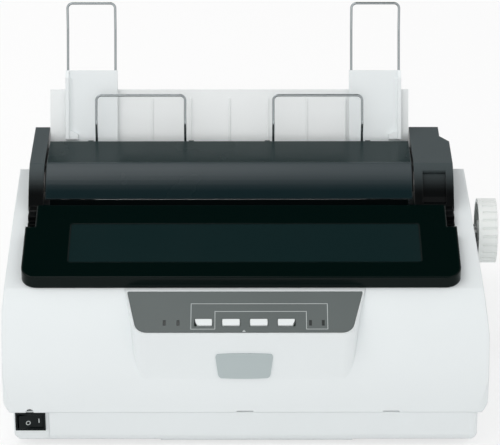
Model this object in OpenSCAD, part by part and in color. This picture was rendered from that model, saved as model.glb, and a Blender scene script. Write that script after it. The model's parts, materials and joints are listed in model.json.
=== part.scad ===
// Narrow-carriage dot matrix printer with a hinged front cover, a tilting paper separator
// and a push tractor. Millimetres. X runs to the right, Y to the back and Z up.
// Pieces are drawn in the case frame: X = 0 at the middle of the case, Y = 0 at its front
// lip and Z = 0 on the table. placed() then moves them to the middle of the whole printer.

/* [Case] */
// Width of the case at its widest line
case_w = 356; // [350:1:362]
// Depth of the case
case_d = 275; // [273:0.5:280]
// Height of the line where the case halves meet
seam_z = 28.4; // [28:0.1:29]
// Wall of the case mouldings
wall = 2.6; // [2.2:0.1:3]
// Height of the rubber feet below the case
foot_h = 4; // [3:0.5:6]
// Radius of a rubber foot
foot_r = 9; // [7:0.5:11]
// Radius of the rounded front face, seen from the side
front_r = 82; // [80:0.5:84]
// Height of the centre of the rounded front face
front_arc_z = 30; // [29:0.5:31]
// Radius of the bulged right side wall above its widest line
side_r = 400; // [360:10:460]
// Radius of the bulged left side wall above its widest line
side_left_r = 900; // [800:20:1000]
// Radius of the side walls below their widest line
skirt_r = 24; // [22:1:30]
// Height of the widest line of the case
bulge_z = 45; // [42:1:48]
// How far the lower case is set in under the upper case
base_inset = 2.4; // [2:0.1:3]
// Chamfer along the bottom edge of the lower case
base_chamfer = 4; // [3:0.5:6]

/* [Covers] */
// White shoulder left of the covers
shoulder_l = 14; // [13.5:0.1:14.5]
// White shoulder right of the covers
shoulder_r = 20.5; // [19.8:0.1:21]
// Width of the left end cover
end_l = 11.3; // [11:0.1:12]
// Width of the right end cover
end_r = 29.8; // [29:0.2:31]
// Thickness of the covers
skin = 2.5; // [2.2:0.1:2.8]
// Height of the front wall of the front cover
lip_h = 8.6; // [8:0.1:9]
// Radius of the front corners of the front cover
cover_r = 12; // [10:1:14]
// Depth position of the cover's hinge pins
hinge_y = 131; // [130:0.5:132]
// Radius of the cover's hinge pins
hinge_pin_r = 2; // [1.6:0.1:2.4]
// Height of the flat top of the exit cover
top_z = 150; // [148:0.5:152]
// Depth position of the crease along the exit cover
crease_y = 165.5; // [164:0.5:167]
// Depth position of the rear edge of the exit cover
exit_rear_y = 207.2; // [206.4:0.2:208]
// Gap between the exit cover and the end covers
cover_gap = 1.7; // [1.2:0.1:2]

/* [Control panel] */
// Depth position of the lower edge of the panel
panel_y = 7; // [6.6:0.1:7.4]
// Height of the lower edge of the panel
panel_z = 89.8; // [89:0.1:90.5]
// Length of the panel up its slope
panel_len = 38.8; // [38:0.2:40]
// Tilt of the panel from the horizontal
panel_tilt = 23; // [21:0.5:25]
// Thickness of the panel
panel_t = 1.6; // [1.2:0.1:2]
// Width of a push button
button_w = 12.5; // [10:0.5:14]
// Height of a push button on the panel
button_h = 5.7; // [5:0.1:7]
// Distance from button to button
button_pitch = 20; // [18:0.5:22]
// How far a button stands out of the panel
button_out = 1.2; // [1:0.1:1.5]

/* [Platen and paper feed] */
// Depth position of the platen's axis
platen_y = 150; // [149:0.5:151]
// Height of the platen's axis
platen_z = 100.5; // [100:0.1:101]
// Radius of the rubber platen
platen_r = 20; // [19.5:0.1:20.2]
// Length of the rubber platen
platen_len = 247; // [244:1:248]
// Radius of the platen's steel shaft
platen_shaft_r = 5; // [4:0.5:6]
// Radius of the hand knob
knob_r = 24.5; // [23:0.5:25]
// Width of the hand knob
knob_w = 14.2; // [13:0.2:16]
// Number of flutes round the knob
knob_flutes = 24; // [18:1:30]
// Module of the feed gears
gear_m = 1; // [0.98:0.01:1.01]
// Width of the feed gears
gear_w = 5; // [4:0.5:5.5]
// Radius of the pinch rollers
pinch_r = 6; // [5:0.5:7]

/* [Print mechanism] */
// Thickness of the sheet steel frame
sheet = 1.5; // [1.2:0.1:1.8]
// Height of the frame's floor
floor_z = 48; // [47:0.5:48.5]
// Radius of the carriage's guide shaft
guide_r = 4.5; // [4:0.1:5]
// Depth position of the guide shaft
guide_y = 104; // [103:0.5:105]
// Height of the guide shaft
guide_z = 68; // [67.5:0.1:68.5]
// Width of the carriage
carriage_w = 36; // [32:1:38]
// Gap between the print head and the platen, which holds the ribbon and the paper
head_gap = 1.7; // [1.6:0.1:2.2]
// Radius of the belt pulleys
pulley_r = 6.3; // [6:0.1:6.6]
// Depth position of the belt pulleys
belt_y = 84; // [83.5:0.1:84.5]
// Distance of the belt pulleys from the middle of the mechanism
pulley_x = 115; // [114:0.5:116]

/* [Tractors] */
// Distance of each tractor from the middle of the paper
tractor_x = 114.3; // [110:0.1:115]
// Side of the square drive shaft
drive_sq = 7; // [6:0.5:8]
// Radius at which the paper rides on the pin wheel
pin_wheel_r = 15; // [14:0.1:15.4]
// Radius of a feed pin
feed_pin_r = 1.9; // [1.6:0.1:2]
// Radius of the tractor's support shaft
support_r = 4; // [3:0.5:4.5]

/* [Paper separator] */
// Lean of the separator from the horizontal
rack_lean = 65; // [62:0.5:68]
// Depth position of the separator's pivot
rack_y = 214; // [213.5:0.1:214.5]
// Height of the separator's pivot
rack_z = 132; // [131:0.5:133]
// Length of the separator above its pivot
rack_len = 53; // [50:1:58]
// Distance between the separator's ribs
rib_pitch = 30; // [26:1:34]
// Radius of the wire of all the paper supports
wire_r = 1; // [0.8:0.1:1.2]
// Length of the tall wires above the edge guides
tall_wire = 51.9; // [50:0.1:54]

/* [Hidden] */

// Half the width of the case
half_w = case_w / 2;
// Clearance of running fits
run_fit = 0.05;
// Roundness of circles and of corners drawn as short straight runs
$fn = 64;
corner_steps = 8;

// Plan of the case
plan_r = 3500;
plan_y = 130;
corner_r = 10;
base_corner_r = 4;
skirt_in = skirt_r - sqrt(pow(skirt_r, 2) - pow(bulge_z - seam_z, 2));
knob_x0 = half_w - 1.8;
case_top_z = 160;

// Line of the shoulders from front to back, as [depth, height]
deck_front = [48.4, 104.8];
deck_mid = [135, 122.4];
deck_rear = [194, 131.5];
slope_end = [262, 84];
back_top = [case_d, 78];

// Covers
cover_x0 = -half_w + shoulder_l;
cover_x1 = half_w - shoulder_r;
inner_x0 = cover_x0 + end_l;
inner_x1 = cover_x1 - end_r;
mech_x = (inner_x0 + inner_x1) / 2;
cover_back_y = hinge_y + 3;
cover_base_gap = 0.4;
cover_front = [deck_front.x + 1.2, deck_front.y + cover_base_gap + lip_h];
cover_tilt = 11;
cover_back = [cover_back_y, cover_front.y + (cover_back_y - cover_front.x) * tan(cover_tilt)];
hinge_z = cover_back.y - skin - hinge_pin_r - 0.6;
knuckle_r = hinge_pin_r + 1.2;
lug_w = 6;
window_x = [cover_x0 + 34, cover_x1 - 28.5];
window_s = [17.3, 62.8];
window_t = 1.2;
hinge_notch_y = hinge_y - 23;
hinge_notch_w = lug_w + 1.2;
lug_reach = 16;
exit_front = [cover_back_y + 7.5, 131.3];
exit_crease = [crease_y, top_z];
face_sag = 2;
end_rear_y = 233.5;
peg_c = [crease_y + 9, top_z - 9];
peg_r = 2.4;

// Opening in the top of the case
well_margin = 7;
well_x0 = cover_x0 + well_margin;
well_x1 = cover_x1 - well_margin;
well_front_y = deck_front.x + 7.5;

// Bump that carries the control panel
panel_top = [panel_y + panel_len * cos(panel_tilt), panel_z + panel_len * sin(panel_tilt)];
bump_low = [-79.5, 77.5];
bump_high = [-87.1, 86.3];
bump_corner_r = 9;
bump_lean = 5.2;
bump_foot_z = 44;
panel_rim = 1;
button_y = 9.8;
button_x = -30.5;
button_travel = 0.8;
board_drop = 9;
lamp_w = 2;
lamp_h = 5;
lamps_x = [-58.6, -48.6, 46.7, 55.9];
badge_w = 42;
badge_h = 19.8;
badge_drop = 25.1;
badge_arch = 0.8;
badge_t = 1;

// Power switch, at the front left
switch_x = -half_w + 21.4;
switch_z = 19.2;
switch_bay = [-half_w + 8, -half_w + 35];
bezel_w = 21.9;
bezel_h = 14.6;
bezel_y = base_inset + 1.4;

// Frame of the print mechanism
platen_x0 = mech_x - platen_len / 2;
platen_x1 = mech_x + platen_len / 2;
platen_gap = 4;
frame_x0 = platen_x0 - platen_gap - sheet;
frame_x1 = platen_x1 + platen_gap + sheet;
frame_front_y = 60;
frame_back_y = 256;
cradle_z = 95.7;
frame_top_z = platen_z + platen_r;
floor_top = floor_z + sheet;
bush_wall = 3;
bush_flange = 2;

// Feed gears: platen, idler, motor pinion and tractor, in one plane left of the frame
platen_teeth = 44;
idler_teeth = 28;
pinion_teeth = 12;
tractor_teeth = 36;
gear_x1 = frame_x0 - 1;
gear_x0 = gear_x1 - gear_w;
idler_dir = -20;
pinion_dir = -5;
tractor_dir = -12;
platen_c = [platen_y, platen_z];
idler_c = platen_c + mesh_step(platen_teeth, idler_teeth, idler_dir);
pinion_c = idler_c + mesh_step(idler_teeth, pinion_teeth, pinion_dir);
tractor_c = pinion_c + mesh_step(pinion_teeth, tractor_teeth, tractor_dir);
idler_phase = mesh_phase(0, platen_teeth, idler_dir, idler_teeth);
pinion_phase = mesh_phase(idler_phase, idler_teeth, pinion_dir, pinion_teeth);
tractor_phase = mesh_phase(pinion_phase, pinion_teeth, tractor_dir, tractor_teeth);
stud_r = 3;
motor_shaft_r = 2;
feed_motor_r = 17.5;
feed_motor_len = 20;

// Pinch rollers under the platen, on the bail of the release lever
pinch_dir = 262;
pinch_c = platen_c + (platen_r + pinch_r + 0.4) * [cos(pinch_dir), sin(pinch_dir)];
bail_c = [platen_y - 22, platen_z - 38];
bail_r = 3;
pinch_axle_r = 2;
pinch_x = [-90, -32, 32, 90];
pinch_len = 14;
bail_lever_x = frame_x1 + 14;

// Carriage, belt and print head
rail_top = 73.5;
rail_depth = 12;
belt_h = 5;
belt_t = 1.2;
belt_z = 53;
belt_gap = 0.3;
carriage_motor_r = 17.5;
carriage_motor_h = 28;
pulley_bore_r = 2.5;
head_w = 30;
head_top = 112;
carriage_top = 84;
lever_t = 3;
lever_x0 = well_x0 + 2.4;

// Ribbon cartridge
cart_z = cradle_z + 0.3;
cart_h = 12;
cart_half = 134.5;
cart_y = [58, 88];
cart_arm = [119, 126];
ribbon_h = 13;
ribbon_t = 0.2;
ribbon_y = platen_y - platen_r - 1.3;
ribbon_knob_x = -95;
ribbon_knob_r = 9;

// Tractors
support_c = [tractor_c.x + 24, tractor_c.y - 7];
tractor_wall = 2.5;
tractor_half = 6.1;
hub_r = 6;
pins = 8;
door_hinge_x = 9;
door_hinge_r = 2.2;
door_pin_r = 1;
door_z = tractor_c.y + pin_wheel_r + 3;
door_t = 2.4;

// Separator, edge guides and wires, in the separator's own frame: X, up the slope, forward
rack_gap = 0.8;
rack_t = 2.5;
rib_h = 1.2;
rack_pin_r = 3;
guide_w = 40.3;
guide_back = 1.6;
guide_t = 3.4;
guide_low = 8;
guide_high = 67.7;
flange_t = 2.6;
flange_out = 8.5;
guide_x = [106.9, 113.2];
guide_leg_in = 1.7;
stand_w = 68.6;
stand_x = 68.4;
stand_y = exit_rear_y + 2.6;
stand_z = top_z - 3.8;
stand_rise = 18;
stand_len = 19.5;

// Boards
board_t = 1.6;
main_board_z = 27;
board_top = main_board_z + board_t;
power_board_z = 16;
inlet_z = 37;
inlet_x = [mech_x - 137.3, mech_x - 109.7];
inlet_gap = 0.2;
parallel_x = [2, 68];
usb_x = [78, 90];
main_board_x = [-20, 98];
main_board_y = [case_d - 135, case_d - 6];
power_board_x = [-118, -32];
power_board_y = [case_d - 139, case_d - 13];
post_r = 5;
chassis_posts = [[-132, 120], [108, 120], [-132, 240], [108, 240]];
case_posts = [for (x = [18 - half_w, half_w - 18], y = [45, case_d - 40]) [x, y]];
foot_xy = [for (x = [38 - half_w, half_w - 38], y = [30, case_d - 30]) [x, y]];
screw_r = 1.75;

// Height of the line a to b at depth y
function on_line(a, b, y) = a.y + (b.y - a.y) * (y - a.x) / (b.x - a.x);

// Height of the shoulder of the case at depth y
function deck_z(y) =
  y < deck_mid.x ? on_line(deck_front, deck_mid, y) :
  y < deck_rear.x ? on_line(deck_mid, deck_rear, y) : on_line(deck_rear, slope_end, y);

// Points on an arc from p to q that bulges left of the way by sag
function bulge(p, q, sag, n = corner_steps) =
  let (d = q - p, len = norm(d), nrm = [-d.y, d.x] / len)
  [for (i = [0 : n]) let (s = i / n) p + d * s + nrm * sag * 4 * s * (1 - s)];

// Points of a polygon whose corners are rounded, each with its own radius
function rounded(pts, radii) =
  let (n = len(pts))
  [for (i = [0 : n - 1]) each round_corner(pts[(i + n - 1) % n], pts[i], pts[(i + 1) % n], radii[i])];

// Points that round the corner b between a and c
function round_corner(a, b, c, r) =
  let (u = (a - b) / norm(a - b), v = (c - b) / norm(c - b), half = acos(u * v) / 2)
  r == 0 ? [b] :
  let (
    mid = (u + v) / norm(u + v),
    o = b + mid * r / sin(half),
    t0 = b + u * r / tan(half) - o,
    t1 = b + v * r / tan(half) - o,
    a0 = atan2(t0.y, t0.x),
    turn = (atan2(t1.y, t1.x) - a0 + 540) % 360 - 180
  )
  [for (i = [0 : corner_steps])
    let (a = a0 + turn * i / corner_steps)
    o + r * [cos(a), sin(a)]];

// Centre distance of two meshed gears, as a step in a direction
function mesh_step(n1, n2, dir) = gear_m * (n1 + n2) / 2 * [cos(dir), sin(dir)];

// Angle of a tooth of the second gear when a tooth of the first is at phase
function mesh_phase(phase, n1, dir, n2) = dir + 180 - (phase - dir) * n1 / n2 + 180 / n2;

// Moves the printer from the case frame to the middle of the whole object
module placed() {
  right_x = knob_x0 + knob_w;
  translate([(half_w - right_x) / 2, -case_d / 2, 0])
    children();
}

// A flat shape drawn in depth and height, as a slab between x0 and x1
module along_x(x0, x1) {
  translate([min(x0, x1), 0, 0])
    rotate([90, 0, 90])
      linear_extrude(abs(x1 - x0))
        children();
}

// A flat shape drawn in width and height, as a slab from y0 to y1
module along_y(y0, y1) {
  translate([0, y1, 0])
    rotate([90, 0, 0])
      linear_extrude(y1 - y0)
        children();
}

// A round bar along X about the point c in depth and height
module bar(c, r, x0, x1) {
  translate([min(x0, x1), c.x, c.y])
    rotate([0, 90, 0])
      cylinder(r = r, h = abs(x1 - x0));
}

// A box between two opposite corners
module block(a, b) {
  translate([min(a.x, b.x), min(a.y, b.y), min(a.z, b.z)])
    cube([abs(b.x - a.x), abs(b.y - a.y), abs(b.z - a.z)]);
}

// A rectangle with true round corners
module round_rect(x0, x1, y0, y1, r) {
  translate([x0 + r, y0])
    square([x1 - x0 - 2 * r, y1 - y0]);
  translate([x0, y0 + r])
    square([x1 - x0, y1 - y0 - 2 * r]);
  for (x = [x0 + r, x1 - r], y = [y0 + r, y1 - r])
    translate([x, y])
      circle(r);
}

// A piece of wire along Y from y0 to y1 at x
module wire_leg(x, y0, y1) {
  translate([x, y0, 0])
    rotate([-90, 0, 0])
      cylinder(r = wire_r, h = y1 - y0);
}

// A bend of wire about the origin in the X-Y plane, from angle a0 on through turn
module wire_bend(r, a0, turn) {
  rotate([0, 0, a0])
    rotate_extrude(angle = turn)
      translate([r, 0])
        circle(wire_r);
}

// Two wire legs of height y0 that lean towards Z by tilt and meet in a top bar
module wire_frame(w, y0, len, tilt) {
  r_top = 4;
  r_kink = 6;
  kink_y = y0 + r_kink * sin(tilt);
  kink_z = r_kink * (1 - cos(tilt));
  for (x = [-w / 2, w / 2])
    translate([x, y0, r_kink])
      rotate([0, 90, 0])
        wire_bend(r_kink, 0, tilt);
  translate([0, kink_y, kink_z])
    rotate([tilt, 0, 0]) {
      for (side = [-1, 1])
        wire_leg(side * w / 2, 0, len - r_top);
      translate([w / 2 - r_top, len - r_top, 0])
        wire_bend(r_top, 0, 90);
      translate([r_top - w / 2, len - r_top, 0])
        wire_bend(r_top, 90, 90);
      translate([r_top - w / 2, len, 0])
        rotate([0, 90, 0])
          cylinder(r = wire_r, h = w - 2 * r_top);
    }
}

// Frame of the panel's surface: Y up the panel, Z out of it
module on_panel() {
  translate([0, panel_y, panel_z])
    rotate([panel_tilt, 0, 0])
      children();
}

// Frame of the leaning face under the panel: Y into the case, Z up the face
module on_bump_face() {
  translate([0, panel_y, panel_z])
    rotate([-bump_lean, 0, 0])
      children();
}

// Frame of the front cover's top surface: Y up the cover, Z out of it
module on_cover() {
  translate([0, cover_front.x, cover_front.y])
    rotate([cover_tilt, 0, 0])
      children();
}

// Frame of the separator: Y up its slope, Z forward out of its face
module on_rack() {
  translate([0, rack_y, rack_z])
    rotate([rack_lean, 0, 0])
      children();
}

// ---- Case ----

// Side view of the upper case, drawn in by t
module case_side(t) {
  low = t > 0 ? seam_z - 2 : seam_z;
  intersection() {
    union() {
      translate([front_r, front_arc_z])
        circle(front_r - t, $fn = 180);
      translate([front_r, 0])
        square([case_d, case_top_z]);
    }
    polygon([
      [0, low], [0, deck_front.y - t], [deck_front.x, deck_front.y - t],
      [deck_mid.x, deck_mid.y - t], [deck_rear.x, deck_rear.y - t],
      [slope_end.x - t, slope_end.y - t], [back_top.x - t, back_top.y - t], [case_d - t, low]
    ]);
  }
}

// Front view of the case, drawn in by t
module case_face(t) {
  lower = half_w - skirt_r;
  intersection() {
    translate([half_w - side_r, bulge_z])
      circle(side_r - t, $fn = 180);
    translate([side_left_r - half_w, bulge_z])
      circle(side_left_r - t, $fn = 180);
    translate([-half_w, bulge_z])
      square([case_w, case_top_z]);
  }
  intersection() {
    union() {
      translate([-lower, bulge_z])
        circle(skirt_r - t, $fn = 120);
      translate([lower, bulge_z])
        circle(skirt_r - t, $fn = 120);
      translate([-lower, 0])
        square([2 * lower, case_top_z]);
    }
    translate([-half_w, 0])
      square([case_w, bulge_z]);
  }
}

// Plan of the case, drawn in by t
module case_plan(t) {
  side = half_w - plan_r;
  intersection() {
    round_rect(-half_w + t, half_w - t, t, case_d - t, corner_r - t);
    union() {
      translate([-side, plan_y])
        circle(plan_r - t, $fn = 720);
      translate([-half_w, plan_y])
        square([case_w, case_d]);
    }
    union() {
      translate([side, plan_y])
        circle(plan_r - t, $fn = 720);
      translate([-half_w, plan_y])
        square([case_w, case_d]);
    }
  }
}

module case_block(t) {
  intersection() {
    along_x(-half_w, half_w)
      case_side(t);
    along_y(0, case_d)
      case_face(t);
    linear_extrude(case_top_z)
      case_plan(t);
  }
}

// The raised bump that carries the panel, drawn in by t, and by roof under the panel
module panel_bump(t, roof) {
  back_y = deck_front.x + 2 * t;
  drop = roof / cos(panel_tilt);
  deep = 70;
  wide = bump_low + (bump_high - bump_low) * deep / (panel_len * cos(panel_tilt + bump_lean));
  intersection() {
    on_bump_face()
      translate([0, 0, -panel_z])
        linear_extrude(panel_z + panel_len)
          polygon(rounded([
            [bump_low.x + t, t], [bump_low.y - t, t], [wide.y - t, deep], [wide.x + t, deep]
          ], [bump_corner_r, bump_corner_r, 0, 0]));
    along_x(-half_w, half_w)
      polygon([
        [-1, bump_foot_z], [-1, panel_z - drop - (panel_y + 1) * tan(panel_tilt)],
        [panel_top.x, panel_top.y - drop], [back_y, deck_front.y - roof], [back_y, bump_foot_z]
      ]);
  }
}

module panel_outline(t) {
  linear_extrude(4 * panel_t, center = true)
    polygon(rounded([
      [bump_low.x + t, t], [bump_low.y - t, t],
      [bump_high.y - t, panel_len], [bump_high.x + t, panel_len]
    ], [bump_corner_r, bump_corner_r, 1, 1]));
}

module button_row() {
  for (i = [0 : 3])
    translate([button_x + i * button_pitch, button_y, 0])
      children();
}

// Tapering walls that close the sides of the tractor bay
module bay_walls() {
  bay_front_y = end_rear_y - 4;
  bay_low = 40;
  intersection() {
    union() {
      for (x = [inner_x0 - 2, inner_x1])
        along_x(x, x + 2)
          case_side(0);
    }
    block([-half_w, bay_front_y, bay_low], [half_w, case_d - 1, case_top_z]);
  }
}

module case_screw_bosses() {
  boss_top = seam_z + 30;
  for (p = case_posts) {
    side = sign(p.x);
    difference() {
      union() {
        translate([p.x, p.y, seam_z])
          cylinder(r = post_r, h = boss_top - seam_z);
        block([p.x, p.y - 1.5, seam_z + 10], [side * (half_w - wall / 2), p.y + 1.5, boss_top]);
      }
      translate([p.x, p.y, seam_z - 1])
        cylinder(r = screw_r + run_fit, h = 16);
    }
  }
}

// Cut for the power inlet, which stands across the seam
module inlet_hole() {
  block([inlet_x.x - inlet_gap, case_d - 8, inlet_z - 11.1],
     [inlet_x.y + inlet_gap, case_d + 1, inlet_z + 11.1]);
}

module upper_case() {
  knob_pocket = 1.4;
  color("#E3E7E7")
  difference() {
    union() {
      difference() {
        union() {
          case_block(0);
          panel_bump(0, 0);
        }
        case_block(wall);
        panel_bump(wall, wall + panel_t);
        block([well_x0, well_front_y, floor_z], [well_x1, exit_rear_y, case_top_z]);
        block([inner_x0, exit_rear_y - 1, floor_z + 6], [inner_x1, slope_end.x, case_top_z]);
      }
      bay_walls();
      case_screw_bosses();
      panel_board_posts();
    }
    on_panel() {
      translate([0, 0, panel_t])
        panel_outline(panel_rim);
      button_row()
        cube([button_w + 1, button_h + 1, 4 * wall], center = true);
      for (x = lamps_x)
        translate([x, button_y, 0])
          cube([lamp_w + 0.2, lamp_h + 0.2, 4 * wall], center = true);
    }
    bar(platen_c, platen_shaft_r + 2, half_w - 20, half_w + 5);
    bar(platen_c, knob_r + 2.5, half_w - knob_pocket - 1.3, half_w + 5);
    inlet_hole();
    block([parallel_x.x - 1, case_d - 8, seam_z - 1], [parallel_x.y + 1, case_d + 1, board_top + 15.2]);
    block([usb_x.x - 1, case_d - 8, seam_z - 1], [usb_x.y + 1, case_d + 1, board_top + 12.4]);
    // slots for the catches at the front of the seam, and the thumb notch over the switch
    for (x = [-0.5, 105.5])
      block([x - 5.8, -1, seam_z - 1], [x + 5.8, 4, seam_z + 1.3]);
    along_y(-1, 5)
      translate([switch_x, seam_z])
        circle(2.9);
  }
}

// Lower case block, drawn in by t
module base_block(t) {
  c = base_chamfer;
  x1 = half_w - skirt_in - base_inset - t;
  y0 = base_inset + t;
  y1 = case_d - base_inset - t;
  z0 = foot_h + t;
  top = t > 0 ? seam_z + 1 : seam_z - 0.6;
  intersection() {
    linear_extrude(case_top_z)
      intersection() {
        case_plan(base_inset + t);
        round_rect(-x1, x1, y0, y1, base_corner_r - t);
      }
    along_y(0, case_d)
      polygon([[-x1 + c, z0], [x1 - c, z0], [x1, z0 + c], [x1, top], [-x1, top], [-x1, z0 + c]]);
    along_x(-half_w, half_w)
      polygon([[y0 + 1.5, z0], [y1 - c, z0], [y1, z0 + c], [y1, top], [y0, top], [y0, z0 + 4]]);
  }
}

// Posts under the corners of a board, up to height z
module board_posts(xs, ys, z) {
  edge = 5;
  for (x = [xs.x + edge, xs.y - edge], y = [ys.x + edge, ys.y - edge])
    translate([x, y, foot_h + 1])
      cylinder(r = 3, h = z - foot_h - 1);
}

module lower_case() {
  floor_in = foot_h + wall;
  color("#DDE2E2")
  difference() {
    union() {
      difference() {
        base_block(0);
        base_block(wall);
      }
      // posts under the frame
      for (p = chassis_posts)
        translate([p.x, p.y, floor_in - 1])
          cylinder(r = post_r, h = floor_z - floor_in + 1);
      // columns round the case screws
      for (p = case_posts)
        translate([p.x, p.y, floor_in - 1])
          cylinder(r = post_r, h = seam_z - 0.6 - floor_in + 1);
      board_posts(main_board_x, main_board_y, main_board_z);
      board_posts(power_board_x, power_board_y, power_board_z);
      // skid under the front edge
      block([-62, base_inset + 2, foot_h - 1.2], [78, base_inset + 14, foot_h + 1]);
    }
    for (p = chassis_posts)
      translate([p.x, p.y, floor_z - 12])
        cylinder(r = screw_r + run_fit, h = 20);
    for (p = case_posts) {
      translate([p.x, p.y, 0])
        cylinder(r = screw_r + 0.3, h = seam_z + 5);
      translate([p.x, p.y, 0])
        cylinder(r = 4.2, h = floor_in + 2);
    }
    for (p = foot_xy)
      translate([p.x, p.y, 0])
        cylinder(r = 3, h = floor_in + 5);
    // bay and cut-out of the power switch
    block([switch_bay.x, 0, foot_h], [switch_bay.y, bezel_y, seam_z + 1]);
    block([switch_x - bezel_w / 2 + 1, 0, switch_z - bezel_h / 2 + 1],
       [switch_x + bezel_w / 2 - 1, 24, switch_z + bezel_h / 2 - 1]);
    inlet_hole();
  }
}

module screws() {
  head_r = 3.8;
  head_h = 2.4;
  color("#8F9498") {
    for (p = case_posts) {
      head_z = foot_h + wall + 2 - head_h;
      translate([p.x, p.y, head_z])
        cylinder(r = head_r, h = head_h);
      translate([p.x, p.y, head_z])
        cylinder(r = screw_r, h = seam_z + 12 - head_z);
    }
    for (p = chassis_posts) {
      translate([p.x, p.y, floor_top])
        cylinder(r = head_r, h = head_h);
      translate([p.x, p.y, floor_z - 10])
        cylinder(r = screw_r, h = floor_top - floor_z + 11);
    }
  }
}

module rubber_feet() {
  color("#2B2D2E")
  for (p = foot_xy)
    translate([p.x, p.y, 0]) {
      cylinder(r = foot_r, h = foot_h);
      cylinder(r = 3 - run_fit, h = foot_h + wall + 1);
    }
}

// ---- Control panel ----

module operator_panel() {
  color("#5C6462")
  on_panel()
    difference() {
      intersection() {
        panel_outline(panel_rim + 0.15);
        block([-half_w, 0, -panel_t + 0.05], [half_w, 2 * panel_len, 0.25]);
      }
      button_row()
        cube([button_w + 0.4, button_h + 0.4, 8], center = true);
      for (x = lamps_x)
        translate([x, button_y, 0])
          cube([lamp_w + 0.1, lamp_h + 0.1, 8], center = true);
    }
}

module indicator_lights() {
  color("#A8B8A0")
  on_panel()
    for (x = lamps_x)
      translate([x - lamp_w / 2, button_y - lamp_h / 2, -board_drop + board_t + 0.2])
        cube([lamp_w, lamp_h, board_drop - board_t - 0.1]);
}

module badge_plate() {
  top = badge_h / 2 - badge_arch;
  left = -badge_w / 2;
  right = badge_w / 2;
  color("#B4BCBC")
  on_bump_face()
    translate([0, 0, -badge_drop])
      along_y(-badge_t, 0)
        intersection() {
          polygon(rounded([
            [left - 1, badge_h / 2], [left + 1.5, -badge_h / 2],
            [right - 3.5, -badge_h / 2], [right - 1, badge_h / 2]
          ], [3, 4, 4, 3]));
          polygon(concat(
            bulge([left - 2, top], [right, top], badge_arch),
            bulge([right, -top], [left - 2, -top], badge_arch)
          ));
        }
}

module panel_board_at() {
  on_panel()
    translate([0, 0, -board_drop])
      children();
}

module panel_board_posts() {
  intersection() {
    panel_board_at()
      for (x = [-66, 62])
        translate([x, 19, board_t])
          cylinder(r = 2.5, h = board_drop);
    panel_bump(0.5, 0.5 + panel_t);
  }
}

module panel_board() {
  color("#2F6B46")
  panel_board_at() {
    block([-70, 4.5, 0], [66, 23, board_t]);
    for (i = [0 : 3])
      translate([button_x + i * button_pitch - 3, button_y - 2.6, board_t])
        cube([6, 5.2, 3]);
  }
}

// One button cap with its stem, drawn about its own middle on the panel
module button(i) {
  slant = 2;
  left = -button_w / 2;
  right = button_w / 2;
  lean_l = i == 1 ? slant : 0;
  lean_r = i == 4 ? slant : 0;
  stem_low = -board_drop + board_t + 3 + button_travel + 0.1;
  color("#E8EAEA")
  on_panel()
    translate([button_x + (i - 1) * button_pitch, button_y, 0]) {
      translate([0, 0, -panel_t - 1])
        linear_extrude(panel_t + 1 + button_out)
          polygon(rounded([
            [left + lean_l, -button_h / 2], [right - lean_r, -button_h / 2],
            [right, button_h / 2], [left, button_h / 2]
          ], [0.8, 0.8, 0.8, 0.8]));
      translate([-1.5, -1.5, stem_low])
        cube([3, 3, -panel_t - 1 - stem_low + 0.5]);
    }
}

module button_1() button(1);
module button_2() button(2);
module button_3() button(3);
module button_4() button(4);

module switch_body() {
  depth = 17;
  color("#1C1E1F")
  difference() {
    union() {
      block([switch_x - bezel_w / 2, bezel_y - 1.2, switch_z - bezel_h / 2],
         [switch_x + bezel_w / 2, bezel_y, switch_z + bezel_h / 2]);
      block([switch_x - bezel_w / 2 + 1.2, bezel_y, switch_z - bezel_h / 2 + 1.2],
         [switch_x + bezel_w / 2 - 1.2, bezel_y + depth, switch_z + bezel_h / 2 - 1.2]);
    }
    block([switch_x - 9.4, 0, switch_z - 5.6], [switch_x + 9.4, bezel_y + 6, switch_z + 5.6]);
  }
}

// The rocker turns about an upright axis and rests with its O side pressed
module switch_rocker() {
  rest_tilt = 8;
  color("#24272A")
  translate([switch_x, bezel_y + 1, switch_z])
    rotate([0, 0, rest_tilt])
      translate([0, 0, -5.4])
        linear_extrude(10.8)
          polygon([[-8.7, -2.6], [0, -1.2], [8.7, -2.6], [7.5, 2], [2, 3.6], [-2, 3.6], [-7.5, 2]]);
}

// ---- Boards and sockets ----

module power_inlet() {
  back_y = case_d - 0.4;
  depth = 22;
  cavity = 17;
  mid_x = (inlet_x.x + inlet_x.y) / 2;
  color("#1C1E1F")
  difference() {
    block([inlet_x.x, back_y - depth, inlet_z - 10.8], [inlet_x.y, back_y, inlet_z + 10.8]);
    along_y(back_y - cavity, back_y + 1)
      polygon([
        [mid_x - 12.2, inlet_z - 8.2], [mid_x + 12.2, inlet_z - 8.2], [mid_x + 12.2, inlet_z + 4],
        [mid_x + 8, inlet_z + 8.2], [mid_x - 8, inlet_z + 8.2], [mid_x - 12.2, inlet_z + 4]
      ]);
  }
  color("#C8CCCE")
  for (pin = [[-7, -2], [0, 2], [7, -2]])
    block([mid_x + pin.x - 1, back_y - cavity, inlet_z + pin.y - 2],
       [mid_x + pin.x + 1, back_y - 3, inlet_z + pin.y + 2]);
}

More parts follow.
